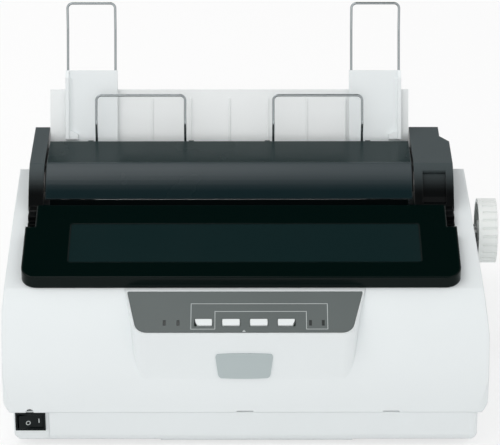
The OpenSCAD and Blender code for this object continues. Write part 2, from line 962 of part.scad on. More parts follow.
module data_connectors() {
  z0 = board_top;
  back_y = case_d - 1.5;
  color("#9EA3A6") {
    difference() {
      block([parallel_x.x, back_y - 16, z0], [parallel_x.y, back_y, z0 + 14]);
      along_y(back_y - 8, back_y + 1)
        polygon([
          [parallel_x.x + 6, z0 + 3], [parallel_x.y - 6, z0 + 3],
          [parallel_x.y - 4, z0 + 11], [parallel_x.x + 4, z0 + 11]
        ]);
    }
    block([parallel_x.x + 8, back_y - 8, z0 + 5.5], [parallel_x.y - 8, back_y - 2, z0 + 8.5]);
    difference() {
      block([usb_x.x, back_y - 16, z0], [usb_x.y, back_y, z0 + 11]);
      block([usb_x.x + 1.8, back_y - 9, z0 + 1.6], [usb_x.y - 1.8, back_y + 1, z0 + 9.4]);
    }
    block([usb_x.x + 3.2, back_y - 9, z0 + 4], [usb_x.y - 3.2, back_y - 2, z0 + 7]);
  }
}

module main_board() {
  top = main_board_z + board_t;
  color("#2F6B46") {
    block([main_board_x.x, main_board_y.x, main_board_z], [main_board_x.y, main_board_y.y, top]);
    block([10, 200, top - 0.1], [38, 228, top + 3]);
    block([52, 200, top - 0.1], [80, 214, top + 3]);
    block([-8, 160, top - 0.1], [44, 170, top + 12]);
    for (x = [60, 72, 84])
      translate([x, 168, top - 0.1])
        cylinder(r = 5, h = 13);
  }
}

module power_board() {
  top = power_board_z + board_t;
  mid_x = (power_board_x.x + power_board_x.y) / 2;
  color("#7A5A33") {
    block([power_board_x.x, power_board_y.x, power_board_z], [power_board_x.y, power_board_y.y, top]);
    block([mid_x - 26, 196, top - 0.1], [mid_x + 26, 240, top + 12]);
    block([mid_x - 17, 196, top + 12], [mid_x + 17, 240, floor_z - 4]);
    for (x = [mid_x - 24, mid_x, mid_x + 24])
      translate([x, 165, top - 0.1])
        cylinder(r = 9, h = 24);
  }
}

// ---- Frame and print mechanism ----

module frame_side() {
  difference() {
    polygon([
      [frame_front_y, floor_z], [frame_back_y, floor_z], [frame_back_y, 84], [212, 102],
      [186, 110], [170, frame_top_z], [platen_y - 24, frame_top_z], [platen_y - 24, cradle_z],
      [frame_front_y, cradle_z]
    ]);
    translate(platen_c)
      circle(platen_shaft_r + bush_wall + run_fit);
    translate([platen_y - platen_shaft_r - bush_wall - run_fit, platen_z])
      square([2 * (platen_shaft_r + bush_wall + run_fit), platen_r + 1]);
    translate([guide_y, guide_z])
      circle(guide_r + run_fit);
    translate(tractor_c)
      circle(support_r + run_fit);
    translate(support_c)
      circle(support_r + run_fit);
    translate(bail_c)
      circle(bail_r + run_fit);
  }
}

module chassis() {
  stud_end = gear_x0 - 0.8;
  rail_back_y = frame_front_y + rail_depth;
  color("#B9BEC0") {
    difference() {
      block([frame_x0, frame_front_y, floor_z], [frame_x1, frame_back_y, floor_top]);
      for (p = chassis_posts)
        translate([p.x, p.y, floor_z - 1])
          cylinder(r = screw_r + 0.3, h = 2 * sheet + 2);
      translate([mech_x - pulley_x, belt_y, floor_z - 1])
        cylinder(r = pulley_bore_r + 3, h = 2 * sheet + 2);
    }
    along_x(frame_x0, frame_x0 + sheet)
      frame_side();
    along_x(frame_x1 - sheet, frame_x1)
      frame_side();
    // front rail, folded up and back
    block([frame_x0, frame_front_y, floor_z], [frame_x1, frame_front_y + sheet, rail_top]);
    block([frame_x0, frame_front_y, rail_top - sheet], [frame_x1, rail_back_y, rail_top]);
    // stud of the idler gear
    bar(idler_c, stud_r, stud_end, frame_x0 + 0.5);
    // stud of the idler pulley, on its washer
    translate([mech_x + pulley_x, belt_y, floor_top - 0.5]) {
      cylinder(r = 4, h = 1.5);
      cylinder(r = pulley_bore_r, h = 10.5);
    }
  }
}

module round_shafts() {
  color("#C9CDCF") {
    bar([guide_y, guide_z], guide_r, lever_x0 - 1.5, frame_x1 + 2);
    bar(support_c, support_r, frame_x0 - 2, frame_x1 + 2);
  }
}

module paper_pan() {
  inner = platen_r + 1.6;
  outer = inner + 1;
  reach = 2 * outer;
  span = [200, 350];
  leg_y = platen_y + 9;
  color("#A9AEB0")
  difference() {
    union() {
      along_x(platen_x0 + 1, platen_x1 - 1)
        difference() {
          intersection() {
            translate(platen_c)
              circle(outer);
            translate(platen_c)
              polygon(concat([[0, 0]], [for (i = [0 : 5])
                let (a = span.x + (span.y - span.x) * i / 5)
                reach * [cos(a), sin(a)]]));
          }
          translate(platen_c)
            circle(inner);
        }
      for (x = [-113, -12, 88])
        block([x, leg_y, floor_top], [x + 6, leg_y + 4, platen_z - inner - 0.2]);
    }
    bar(platen_c, inner, platen_x0, platen_x1);
    for (x = pinch_x)
      bar(pinch_c, pinch_r + 1, mech_x + x - pinch_len / 2 - 1, mech_x + x + pinch_len / 2 + 1);
  }
}

module stepper(r, h) {
  difference() {
    cylinder(r = r, h = h);
    translate([0, 0, 4])
      cylinder(r = pulley_bore_r + run_fit, h = h);
  }
}

module carriage_motor() {
  color("#6C7073")
  translate([mech_x - pulley_x, belt_y, floor_z - carriage_motor_h])
    stepper(carriage_motor_r, carriage_motor_h);
}

module feed_motor() {
  flange_x = gear_x0 - 2.5;
  post_step = 15;
  color("#6C7073")
  difference() {
    union() {
      bar(pinion_c, feed_motor_r, flange_x - feed_motor_len, flange_x);
      along_x(flange_x, flange_x + 1.5)
        translate([pinion_c.x - 6, pinion_c.y - 19])
          square([12, 38]);
      for (side = [-1, 1])
        bar(pinion_c + [0, side * post_step], 2.5, flange_x, frame_x0);
    }
    bar(pinion_c, motor_shaft_r + run_fit, flange_x - feed_motor_len + 3, flange_x + 3);
  }
}

// A spur gear drawn flat, with straight-sided teeth and backlash, one tooth at angle phase
module gear_shape(teeth, phase) {
  r = gear_m * teeth / 2;
  root = r - 1.2 * gear_m;
  tip = r + 0.85 * gear_m;
  pitch = 360 / teeth;
  polygon([for (i = [0 : teeth - 1]) let (a = phase + i * pitch) each [
    root * [cos(a - 0.36 * pitch), sin(a - 0.36 * pitch)],
    root * [cos(a - 0.31 * pitch), sin(a - 0.31 * pitch)],
    tip * [cos(a - 0.11 * pitch), sin(a - 0.11 * pitch)],
    tip * [cos(a + 0.11 * pitch), sin(a + 0.11 * pitch)],
    root * [cos(a + 0.31 * pitch), sin(a + 0.31 * pitch)],
    root * [cos(a + 0.36 * pitch), sin(a + 0.36 * pitch)]
  ]]);
}

module gear(c, teeth, phase, bore_r) {
  difference() {
    along_x(gear_x0, gear_x1)
      translate(c)
        gear_shape(teeth, phase);
    bar(c, bore_r, gear_x0 - 1, gear_x1 + 1);
  }
}

module platen_bushes() {
  hole_r = platen_shaft_r + run_fit;
  outer_r = platen_shaft_r + bush_wall;
  color("#DADBD6")
  for (x = [frame_x0, frame_x1 - sheet])
    difference() {
      union() {
        bar(platen_c, outer_r, x - 0.2, x + sheet + 0.2);
        if (x < mech_x)
          bar(platen_c, outer_r + 2, x + sheet, x + sheet + bush_flange);
        else
          bar(platen_c, outer_r + 2, x - bush_flange, x);
      }
      bar(platen_c, hole_r, x - 5, x + sheet + 5);
    }
}

module platen_roller() {
  color("#26282A")
  difference() {
    bar(platen_c, platen_r, platen_x0, platen_x1);
    bar(platen_c, platen_shaft_r + 0.02, platen_x0 - 1, platen_x1 + 1);
  }
}

module platen_shaft() {
  color("#C9CDCF")
  bar(platen_c, platen_shaft_r, gear_x0 - 0.5, knob_x0 + knob_w - 3);
  color("#E2DED0")
  gear(platen_c, platen_teeth, 0, platen_shaft_r + 0.02);
}

module platen_knob() {
  flute_r = 1.1;
  color("#E6E8E6")
  difference() {
    bar(platen_c, knob_r, knob_x0, knob_x0 + knob_w);
    bar(platen_c, platen_shaft_r + 0.02, knob_x0 - 1, knob_x0 + knob_w - 3);
    for (i = [0 : knob_flutes - 1])
      let (a = 360 * i / knob_flutes)
      bar(platen_c + knob_r * [cos(a), sin(a)], flute_r, knob_x0 + 3, knob_x0 + knob_w + 1, $fn = 24);
    difference() {
      bar(platen_c, knob_r - 3, knob_x0 - 1, knob_x0 + 7);
      bar(platen_c, platen_shaft_r + 3, knob_x0 - 2, knob_x0 + 8);
    }
  }
}

module feed_idler() {
  color("#E2DED0")
  gear(idler_c, idler_teeth, idler_phase, stud_r + run_fit);
}

module feed_pinion() {
  color("#C2A45A") {
    gear(pinion_c, pinion_teeth, pinion_phase, motor_shaft_r - 0.5);
    bar(pinion_c, motor_shaft_r, gear_x0 - 2.5 - feed_motor_len + 5, gear_x1);
  }
}

// The bail: release lever, cross shaft and the arms that hold the pinch roller axle
module release_lever() {
  reach = pinch_c - bail_c;
  lever_top = cradle_z + 18;
  color("#3F6FA8")
  difference() {
    union() {
      bar(bail_c, bail_r, frame_x0 - 1, bail_lever_x + lever_t);
      for (x = pinch_x)
        along_x(mech_x + x + pinch_len / 2 + 1, mech_x + x + pinch_len / 2 + 4)
          union() {
            translate(bail_c)
              circle(5);
            translate(pinch_c)
              circle(3.6);
            translate(bail_c)
              rotate(atan2(reach.y, reach.x))
                translate([0, -3])
                  square([norm(reach), 6]);
          }
      along_x(bail_lever_x, bail_lever_x + lever_t)
        polygon(rounded([
          [bail_c.x + 5, bail_c.y - 5], [bail_c.x - 4, lever_top],
          [bail_c.x - 13, lever_top], [bail_c.x - 5, bail_c.y - 5]
        ], [3, 3, 3, 3]));
      block([bail_lever_x - 5, bail_c.x - 13, lever_top - 4],
         [bail_lever_x + lever_t, bail_c.x - 5, lever_top]);
    }
    bar(pinch_c, pinch_axle_r + run_fit, frame_x0, frame_x1);
  }
}

module pinch_rollers() {
  color("#303336") {
    bar(pinch_c, pinch_axle_r, mech_x + pinch_x[0] - 10, mech_x + pinch_x[3] + 12);
    for (x = pinch_x)
      bar(pinch_c, pinch_r, mech_x + x - pinch_len / 2, mech_x + x + pinch_len / 2);
  }
}

module head_gap_lever() {
  top = cradle_z + 17;
  color("#3F6FA8")
  difference() {
    union() {
      bar([guide_y, guide_z], guide_r + 4, lever_x0, lever_x0 + lever_t);
      along_x(lever_x0, lever_x0 + lever_t)
        polygon([
          [guide_y - 6, guide_z], [guide_y + 6, guide_z],
          [guide_y - 8, top], [guide_y - 16, top]
        ]);
      block([lever_x0, guide_y - 16, top - 3], [lever_x0 + 6, guide_y - 8, top]);
    }
    bar([guide_y, guide_z], guide_r + run_fit, lever_x0 - 1, lever_x0 + 10);
  }
}

module carriage() {
  half = carriage_w / 2;
  run_y = belt_y - pulley_r - belt_gap - belt_t;
  color("#3A3D40")
  difference() {
    union() {
      block([mech_x - half, guide_y - 10, guide_z - 9.2], [mech_x + half, guide_y + 12, carriage_top]);
      block([mech_x - half, frame_front_y + 2, rail_top + belt_gap], [mech_x + half, guide_y, rail_top + 7]);
      block([mech_x - 5, run_y - 2.6, belt_z - 1.5], [mech_x + 5, run_y + belt_t + 2.6, rail_top + 3]);
    }
    bar([guide_y, guide_z], guide_r + run_fit, mech_x - half - 1, mech_x + half + 1);
    block([mech_x - 6, run_y - belt_gap, belt_z - belt_gap],
       [mech_x + 6, run_y + belt_t + belt_gap, belt_z + belt_h + belt_gap]);
  }
}

module print_head() {
  nose_y = platen_y - platen_r - head_gap;
  half = head_w / 2;
  fins = 6;
  color("#4A4D50") {
    difference() {
      block([mech_x - half, guide_y - 9, carriage_top + 0.1], [mech_x + half, nose_y - 9, head_top]);
      for (i = [1 : fins])
        let (y = guide_y - 9 + i * 3)
        block([mech_x - half - 1, y - 0.8, carriage_top + 8], [mech_x + half + 1, y + 0.8, head_top + 1]);
    }
    block([mech_x - 5, nose_y - 10, platen_z - 6.5], [mech_x + 5, nose_y, platen_z + 6.5]);
  }
}

module drive_pulley() {
  color("#C2A45A")
  translate([mech_x - pulley_x, belt_y, 0]) {
    translate([0, 0, floor_z - carriage_motor_h + 6])
      cylinder(r = pulley_bore_r, h = carriage_motor_h + 6);
    pulley_body(0);
  }
}

module pulley_body(bore) {
  difference() {
    union() {
      translate([0, 0, belt_z - 1])
        cylinder(r = pulley_r, h = belt_h + 2);
      for (z = [belt_z - 1.8, belt_z + belt_h + 0.6])
        translate([0, 0, z])
          cylinder(r = pulley_r + 2, h = 1);
    }
    if (bore > 0)
      translate([0, 0, belt_z - 5])
        cylinder(r = bore, h = belt_h + 10);
  }
}

module idler_pulley() {
  color("#C2A45A")
  translate([mech_x + pulley_x, belt_y, 0])
    pulley_body(pulley_bore_r + run_fit);
}

module timing_belt() {
  inner = pulley_r + belt_gap;
  color("#222426")
  translate([mech_x, belt_y, belt_z])
    linear_extrude(belt_h)
      difference() {
        belt_loop(inner + belt_t);
        belt_loop(inner);
      }
}

module belt_loop(r) {
  for (side = [-1, 1])
    translate([side * pulley_x, 0])
      circle(r);
  translate([-pulley_x, -r])
    square([2 * pulley_x, 2 * r]);
}

module ribbon_cartridge() {
  top = cart_z + cart_h;
  knob_y = (cart_y.x + cart_y.y) / 2;
  color("#1B1D1F") {
    difference() {
      union() {
        translate([0, 0, cart_z])
          linear_extrude(cart_h)
            polygon(rounded([
              [mech_x - cart_half, cart_y.x], [mech_x + cart_half, cart_y.x],
              [mech_x + cart_half, cart_y.y], [mech_x - cart_half, cart_y.y]
            ], [8, 8, 2, 2]));
        for (side = [-1, 1])
          block([mech_x + side * cart_arm.x, cart_y.y - 1, cart_z],
             [mech_x + side * cart_arm.y, ribbon_y - 0.4, top]);
      }
      translate([ribbon_knob_x, knob_y, cart_z + 4])
        cylinder(r = 3 + run_fit, h = cart_h);
    }
  }
  color("#2E2A33")
  block([mech_x - cart_arm.y, ribbon_y - ribbon_t, platen_z - ribbon_h / 2],
     [mech_x + cart_arm.y, ribbon_y, platen_z + ribbon_h / 2]);
}

module ribbon_knob() {
  knob_y = (cart_y.x + cart_y.y) / 2;
  color("#35608F")
  translate([ribbon_knob_x, knob_y, 0]) {
    translate([0, 0, cart_z + 4.5])
      cylinder(r = 3, h = cart_h - 3);
    translate([0, 0, cart_z + cart_h + 0.3])
      difference() {
        cylinder(r = ribbon_knob_r, h = 3);
        for (i = [0 : 11])
          rotate([0, 0, 30 * i])
            translate([ribbon_knob_r, 0, -1])
              cylinder(r = 1.2, h = 6, $fn = 16);
      }
  }
}

// ---- Tractors ----

module tractor_shaft() {
  half = drive_sq / 2;
  color("#C9CDCF") {
    block([frame_x0 + sheet + 0.4, tractor_c.x - half, tractor_c.y - half],
       [frame_x1 - sheet - 0.4, tractor_c.x + half, tractor_c.y + half]);
    bar(tractor_c, support_r, gear_x0 - 0.5, frame_x0 + sheet + 1);
    bar(tractor_c, support_r, frame_x1 - sheet - 1, frame_x1 + 2);
  }
  color("#E2DED0")
  gear(tractor_c, tractor_teeth, tractor_phase, support_r + 0.02);
}

// One tractor about the middle x of its pin wheel, with its hinge on the side given by out
module tractor_unit(x, out) {
  wall_in = tractor_half - tractor_wall;
  front_y = tractor_c.x - pin_wheel_r;
  back_y = support_c.x + 6;
  low = support_c.y - 8;
  top = tractor_c.y + pin_wheel_r - 0.6;
  lid_y = tractor_lid_y();
  lug_x = x + out * door_hinge_x;
  color("#35383B")
  difference() {
    union() {
      for (side = [-1, 1])
        along_x(x + side * wall_in, x + side * tractor_half)
          polygon([
            [front_y, low + 3], [front_y, top], [lid_y.y + 3.5, top],
            [back_y, support_c.y + 7], [back_y, low], [front_y + 3, low]
          ]);
      block([x - wall_in - 0.5, support_c.x - 5.2, low], [x + wall_in + 0.5, back_y, support_c.y + 6]);
      // lugs of the lid's hinge
      for (y = [lid_y.x - 3.4, lid_y.y + 0.4])
        block([lug_x + out * 3, y, top - 6], [x + out * (wall_in + 1), y + 3, door_z + 2.6]);
    }
    bar(tractor_c, hub_r + run_fit, x - 20, x + 20);
    bar(support_c, support_r + run_fit, x - 20, x + 20);
    along_y(lid_y.x - 10, lid_y.y + 10)
      translate([lug_x, door_z])
        circle(door_pin_r + run_fit);
  }
}

function tractor_lid_y() = [tractor_c.x - 11, tractor_c.x + 11];

module tractor_left() tractor_unit(mech_x - tractor_x, -1);
module tractor_right() tractor_unit(mech_x + tractor_x, 1);

module pin_wheel(x) {
  half = drive_sq / 2 + run_fit;
  wheel_w = 6;
  pin_out = 3.2;
  color("#D8D4C6")
  difference() {
    union() {
      bar(tractor_c, hub_r, x - tractor_half - 0.5, x + tractor_half + 0.5);
      bar(tractor_c, pin_wheel_r, x - wheel_w / 2, x + wheel_w / 2);
      for (i = [0 : pins - 1])
        translate([x, tractor_c.x, tractor_c.y])
          rotate([360 * i / pins, 0, 0])
            translate([0, 0, hub_r + 2])
              cylinder(r = feed_pin_r, h = pin_wheel_r + pin_out - hub_r - 2);
    }
    block([x - 20, tractor_c.x - half, tractor_c.y - half], [x + 20, tractor_c.x + half, tractor_c.y + half]);
  }
}

module pin_wheel_left() pin_wheel(mech_x - tractor_x);
module pin_wheel_right() pin_wheel(mech_x + tractor_x);

module tractor_door(x, out) {
  lid_y = tractor_lid_y();
  hinge_x = x + out * door_hinge_x;
  inner_x = x - out * 8;
  slot = 2.6;
  z0 = door_z - door_t / 2;
  color("#D8D4C6")
  difference() {
    union() {
      block([hinge_x, lid_y.x, z0], [inner_x, lid_y.y, z0 + door_t]);
      along_y(lid_y.x, lid_y.y)
        translate([hinge_x, door_z])
          circle(door_hinge_r);
      along_y(lid_y.x - 3, lid_y.y + 3)
        translate([hinge_x, door_z])
          circle(door_pin_r);
    }
    block([x - slot, lid_y.x + 2.4, z0 - 3], [x + slot, lid_y.y - 2.4, z0 + 6]);
  }
}

module tractor_door_left() tractor_door(mech_x - tractor_x, -1);
module tractor_door_right() tractor_door(mech_x + tractor_x, 1);

// ---- Covers ----

module exit_cover() {
  x0 = inner_x0 + cover_gap;
  x1 = inner_x1 - cover_gap;
  low_rear = [exit_rear_y, top_z - 9];
  color("#2E3638")
  difference() {
    union() {
      difference() {
        along_x(x0, x1)
          hood_outline(exit_rear_y, 0, low_rear);
        along_x(x0 + skin, x1 - skin)
          translate([0, -0.01])
            hood_outline(exit_rear_y, skin, [low_rear.x - skin, low_rear.y - 12]);
      }
      // lugs of the wire stands
      for (side = [-1, 1], leg = [-1, 1])
        let (lx = stand_foot_x(side, leg))
        along_x(lx.x, lx.y) {
          translate([stand_y, stand_z])
            circle(2.2);
          translate([exit_rear_y - 0.5, stand_z - 2.2])
            square([stand_y - exit_rear_y + 0.5, 4.4]);
        }
    }
    for (side = [-1, 1], leg = [-1, 1])
      let (lx = stand_foot_x(side, leg))
      bar([stand_y, stand_z], wire_r + run_fit, lx.x - leg, lx.y + leg);
    bar(peg_c, peg_r + 0.1, x0 - 1, x0 + skin + 1);
    bar(peg_c, peg_r + 0.1, x1 - skin - 1, x1 + 1);
  }
}

// Side view of the covers behind the exit slot: curved face, crease, flat top and rear
module hood_outline(y1, t, low_rear) {
  f = [exit_front.x + (t > 0 ? t + 1 : 0), exit_front.y - (t > 0 ? 6 : 0)];
  c = exit_crease + [0.35 * t, -t];
  polygon(concat(
    [f],
    bulge(exit_front + [1.1 * t, 0.1 * t], c, face_sag),
    [[y1 - t - 2, top_z - t], [y1 - t, top_z - t - 2], low_rear]
  ));
}

// Places in X of a stand wire's lug, for the stand and the leg given by -1 or 1
function stand_foot_x(side, leg) =
  let (x = mech_x + side * stand_x + leg * (stand_w / 2))
  [x + leg * 2.6, x + leg * 6.6];

// Side view of an end cover, which stands on the shoulder of the case
module end_side(t) {
  y0 = exit_front.x - 3.5;
  low = t > 0 ? -6 : 0.2;
  polygon(concat(
    [[y0 + t, deck_z(y0) + low]],
    [[y0 + t, exit_front.y - 4.5 - t * 0.6]],
    bulge(exit_front + [1.1 * t, 0.1 * t], exit_crease + [0.35 * t, -t], face_sag),
    [[end_rear_y - t - 2, top_z - t], [end_rear_y - t, top_z - t - 2]],
    [[end_rear_y - t, deck_z(end_rear_y) + low]],
    [[deck_rear.x, deck_rear.y + low]]
  ));
}

// Arm of an end cover that carries the hinge pin and fills the notch of the front cover
module hinge_lug(x0) {
  y0 = hinge_y - lug_reach;
  y1 = exit_front.x - 2;
  lift = 0.3;
  along_x(x0, x0 + lug_w)
    difference() {
      union() {
        translate([hinge_y, hinge_z])
          circle(knuckle_r - 0.2);
        polygon([
          [y0, deck_z(y0) + lift], [deck_mid.x, deck_mid.y + lift], [y1, deck_z(y1) + lift],
          [y1, hinge_z + 2], [y0 + 6, hinge_z + 2], [y0 + 6, hinge_z - 2], [y0, hinge_z - 2]
        ]);
      }
      translate([hinge_y, hinge_z])
        circle(hinge_pin_r + 0.02);
    }
}

module end_cover_body(x0, x1) {
  difference() {
    along_x(x0, x1)
      end_side(0);
    along_x(x0 + 2.2, x1 - 2.2)
      end_side(2.2);
  }
}

module end_cover_left() {
  color("#2E3638")
  difference() {
    union() {
      end_cover_body(cover_x0, inner_x0);
      hinge_lug(cover_x0 + 1);
      bar(peg_c, peg_r, inner_x0 - 2, inner_x0 + cover_gap + skin + 0.5);
    }
    bar([rack_y, rack_z], rack_pin_r + run_fit, inner_x0 - 5, inner_x0 + 5);
  }
}

module end_cover_right() {
  notch = 7;
  notch_y = [end_rear_y - 28.9, end_rear_y - 19.1];
  recess_x = [inner_x1 + 6.6, inner_x1 + 24];
  recess_depth = 3;
  color("#2E3638")
  difference() {
    union() {
      end_cover_body(inner_x1, cover_x1);
      hinge_lug(cover_x1 - 1 - lug_w);
      bar(peg_c, peg_r, inner_x1 - cover_gap - skin - 0.5, inner_x1 + 2);
      // floor of the square recess in the face
      along_x(recess_x.x - 2, recess_x.y + 2)
        intersection() {
          end_side(recess_depth);
          translate([exit_front.x, exit_front.y - 4])
            square([crease_y - exit_front.x - 2, 26]);
          difference() {
            end_side(recess_depth);
            end_side(recess_depth + 2);
          }
        }
      // wall round the notch
      intersection() {
        linear_extrude(case_top_z)
          polygon([
            [cover_x1 - 2.2, notch_y.x - 2.1], [cover_x1, notch_y.x - 2.1],
            [cover_x1, notch_y.x], [cover_x1 - notch, notch_y.y],
            [cover_x1 - notch, end_rear_y], [cover_x1 - notch - 2.2, end_rear_y],
            [cover_x1 - notch - 2.2, notch_y.y - 1]
          ]);
        along_x(inner_x1, cover_x1)
          end_side(0);
      }
    }
    linear_extrude(case_top_z + 10)
      polygon([
        [cover_x1 + 1, notch_y.x - 1.4], [cover_x1 - notch, notch_y.y],
        [cover_x1 - notch, end_rear_y + 1], [cover_x1 + 1, end_rear_y + 1]
      ]);
    along_x(recess_x.x, recess_x.y)
      difference() {
        translate([exit_front.x - 3, exit_front.y - 3])
          square([crease_y - exit_front.x - 3.4, top_z - exit_front.y + 1]);
        end_side(recess_depth);
      }
    bar([rack_y, rack_z], rack_pin_r + run_fit, inner_x1 - 5, inner_x1 + 5);
  }
}

module hinge_pins() {
  color("#C9CDCF") {
    bar([hinge_y, hinge_z], hinge_pin_r, cover_x0 + 1, cover_x0 + 2 * lug_w + 2);
    bar([hinge_y, hinge_z], hinge_pin_r, cover_x1 - 2 * lug_w - 2, cover_x1 - 1);
  }
}

module tear_bar() {
  teeth = 60;
  x0 = frame_x0;
  x1 = frame_x1;
  y = exit_front.x + 0.6;
  step = (x1 - x0) / teeth;
  top = exit_front.y - 5.8;
  color("#AEB4B6")
  along_y(y, y + 0.8)
    polygon(concat(
      [[x1, frame_top_z + 0.3], [x0, frame_top_z + 0.3]],
      [for (i = [0 : teeth - 1]) each [[x0 + i * step, top - 0.7], [x0 + (i + 0.5) * step, top]]],
      [[x1, top - 0.7]]
    ));
}

// Outer block of the front cover, drawn in by t
module cover_block(t) {
  front = cover_front + [t * 1.2, -t];
  base = cover_base_gap + (t > 0 ? -4 : 0);
  back_y = cover_back_y + (t > 0 ? 2 : 0);
  intersection() {
    linear_extrude(case_top_z)
      round_rect(cover_x0 + t, cover_x1 - t, deck_front.x + t, case_d, cover_r - t);
    along_x(cover_x0, cover_x1)
      polygon(concat(
        [[deck_front.x + t, deck_z(deck_front.x + t) + base]],
        bulge([deck_front.x + t, front.y - 1.2], front, 0.2, 3),
        [[back_y, front.y + (back_y - front.x) * tan(cover_tilt)], [back_y, deck_z(back_y) + base]]
      ));
  }
}

module window_shape(t) {
  polygon(rounded([
    [window_x.x + t, window_s.x + t], [window_x.y - t, window_s.x + t],
    [window_x.y - t, window_s.y - t], [window_x.x + t, window_s.y - t]
  ], [2, 2, 2, 2]));
}

module front_cover() {
  ear_x = [cover_x0 + lug_w + 1.5, cover_x1 - 2 * lug_w - 1.5];
  color("#15191A")
  difference() {
    union() {
      difference() {
        cover_block(0);
        cover_block(skin);
      }
      for (x = ear_x)
        along_x(x, x + lug_w) {
          translate([hinge_y, hinge_z])
            circle(knuckle_r);
          translate([hinge_y - knuckle_r, hinge_z])
            square([2 * knuckle_r - 0.4, cover_back.y - hinge_z - 2]);
        }
      // walls round the hinge notches
      intersection() {
        cover_block(0);
        for (side = [[cover_x0, 1], [cover_x1, -1]])
          let (x = side.x + side.y * hinge_notch_w) {
            block([x, hinge_notch_y - 2, 0], [x + side.y * 2, hinge_y - knuckle_r, case_top_z]);
            block([side.x, hinge_notch_y - 2, 0], [x, hinge_notch_y, case_top_z]);
          }
      }
    }
    bar([hinge_y, hinge_z], hinge_pin_r + run_fit, cover_x0 - 1, cover_x1 + 1);
    // notches for the hinge lugs of the end covers
    block([cover_x0 - 1, hinge_notch_y, deck_front.y], [cover_x0 + hinge_notch_w, case_d, case_top_z]);
    block([cover_x1 - hinge_notch_w, hinge_notch_y, deck_front.y], [cover_x1 + 1, case_d, case_top_z]);
    on_cover() {
      translate([0, 0, -window_t - 0.4])
        linear_extrude(10)
          window_shape(0);
      translate([0, 0, -10])
        linear_extrude(20)
          window_shape(3);
    }
  }
}

module cover_window() {
  color("#10191B")
  on_cover()
    translate([0, 0, -window_t - 0.35])
      linear_extrude(window_t)
        window_shape(0.1);
}

// ---- Separator, edge guides and wires ----

module separator() {
  x0 = inner_x0 + rack_gap;
  x1 = inner_x1 - rack_gap;
  ribs = 3;
  pin_out = 3.4;
  color("#DDE2E2") {
    on_rack() {
      block([x0, 5, -rack_t], [x1, rack_len, 0]);
      for (i = [-ribs : ribs])
        block([mech_x + i * rib_pitch - 0.6, 7, -0.5], [mech_x + i * rib_pitch + 0.6, rack_len - 7, rib_h]);
    }
    // barrels round the pivot pins, with a web to the plate
    for (x = [x0, x1 - 8])
      along_x(x, x + 8)
        translate([rack_y, rack_z]) {
          circle(4.5);
          rotate(rack_lean)
            translate([0, -rack_t])
              square([8, rack_t]);
        }
    bar([rack_y, rack_z], rack_pin_r, x0 - pin_out, x0 + 1);
    bar([rack_y, rack_z], rack_pin_r, x1 - 1, x1 + pin_out);
  }
}

// Edge guide in the separator's frame; out is the side of its flange, -1 or 1
module edge_guide(out) {
  mid = guide_mid(out);
  outer = mid + out * guide_w / 2;
  inner = mid - out * guide_w / 2;
  flange_in = outer - out * flange_t;
  clip_low = rack_len - 15;
  plate_n = guide_back + guide_t;
  fillet = flange_out - plate_n;
  leg = tall_leg_x(out);
  color("#D5DBDB")
  on_rack()
    difference() {
      union() {
        block([outer, guide_low, guide_back], [inner, guide_high, plate_n]);
        // flange that the paper's edge runs along
        along_x(outer, flange_in)
          polygon([
            [guide_low + 6, guide_back], [guide_low + 6, flange_out],
            [guide_high - 6, flange_out], [guide_high, plate_n], [guide_high, guide_back]
          ]);
        // hollow between the plate and its flange
        along_y(guide_low + 6, guide_high - 6)
          translate([flange_in, plate_n])
            polygon(concat([[out * 0.3, fillet], [out * 0.3, -0.3], [-out * fillet, -0.3]],
              [for (i = [0 : corner_steps]) let (a = 90 * i / corner_steps)
              fillet * [-out * (1 - sin(a)), 1 - cos(a)]]));
        // gusset at the foot of the flange
        linear_extrude(plate_n + 2.4)
          polygon([
            [flange_in + out, guide_low + 6], [flange_in + out, guide_low + 14],
            [flange_in - out * 7, guide_low + 10], [flange_in - out * 7, guide_low + 6]
          ]);
        // clip over the separator's top edge
        block([mid - 12, rack_len + 0.5, -rack_t - 3], [mid + 12, rack_len + 3.5, guide_back + 1]);
        block([mid - 12, clip_low, -rack_t - 3], [mid + 12, rack_len + 3.5, -rack_t - 0.5]);
      }
      // room in front of the ribs
      block([outer + out, 0, -rack_t - 0.4], [inner - out, rack_len + 0.4, guide_back]);
      for (x = leg)
        translate([x, guide_low + 3, wire_n()])
          rotate([-90, 0, 0])
            cylinder(r = wire_r + run_fit, h = guide_high);
    }
}

function wire_n() = guide_back + guide_t / 2;

// Place in X of the middle of an edge guide
function guide_mid(out) = mech_x + (out < 0 ? -guide_x.x : guide_x.y);

// Places in X of the two legs of a tall wire
function tall_leg_x(out) =
  let (half = guide_w / 2 - guide_leg_in)
  [guide_mid(out) - out * half, guide_mid(out) + out * half];

module edge_guide_left() edge_guide(-1);
module edge_guide_right() edge_guide(1);

// Tall wire in the separator's frame, with its top bent forward
module tall_wire_at(out) {
  low = guide_high - 24;
  kink = guide_high + tall_wire - 20;
  w = guide_w - 2 * guide_leg_in;
  color("#9A9EA0")
  on_rack()
    translate([guide_mid(out), 0, wire_n()]) {
      wire_frame(w, kink, 19, 14);
      for (side = [-1, 1])
        wire_leg(side * w / 2, low, kink);
    }
}

module tall_wire_left() tall_wire_at(-1);
module tall_wire_right() tall_wire_at(1);

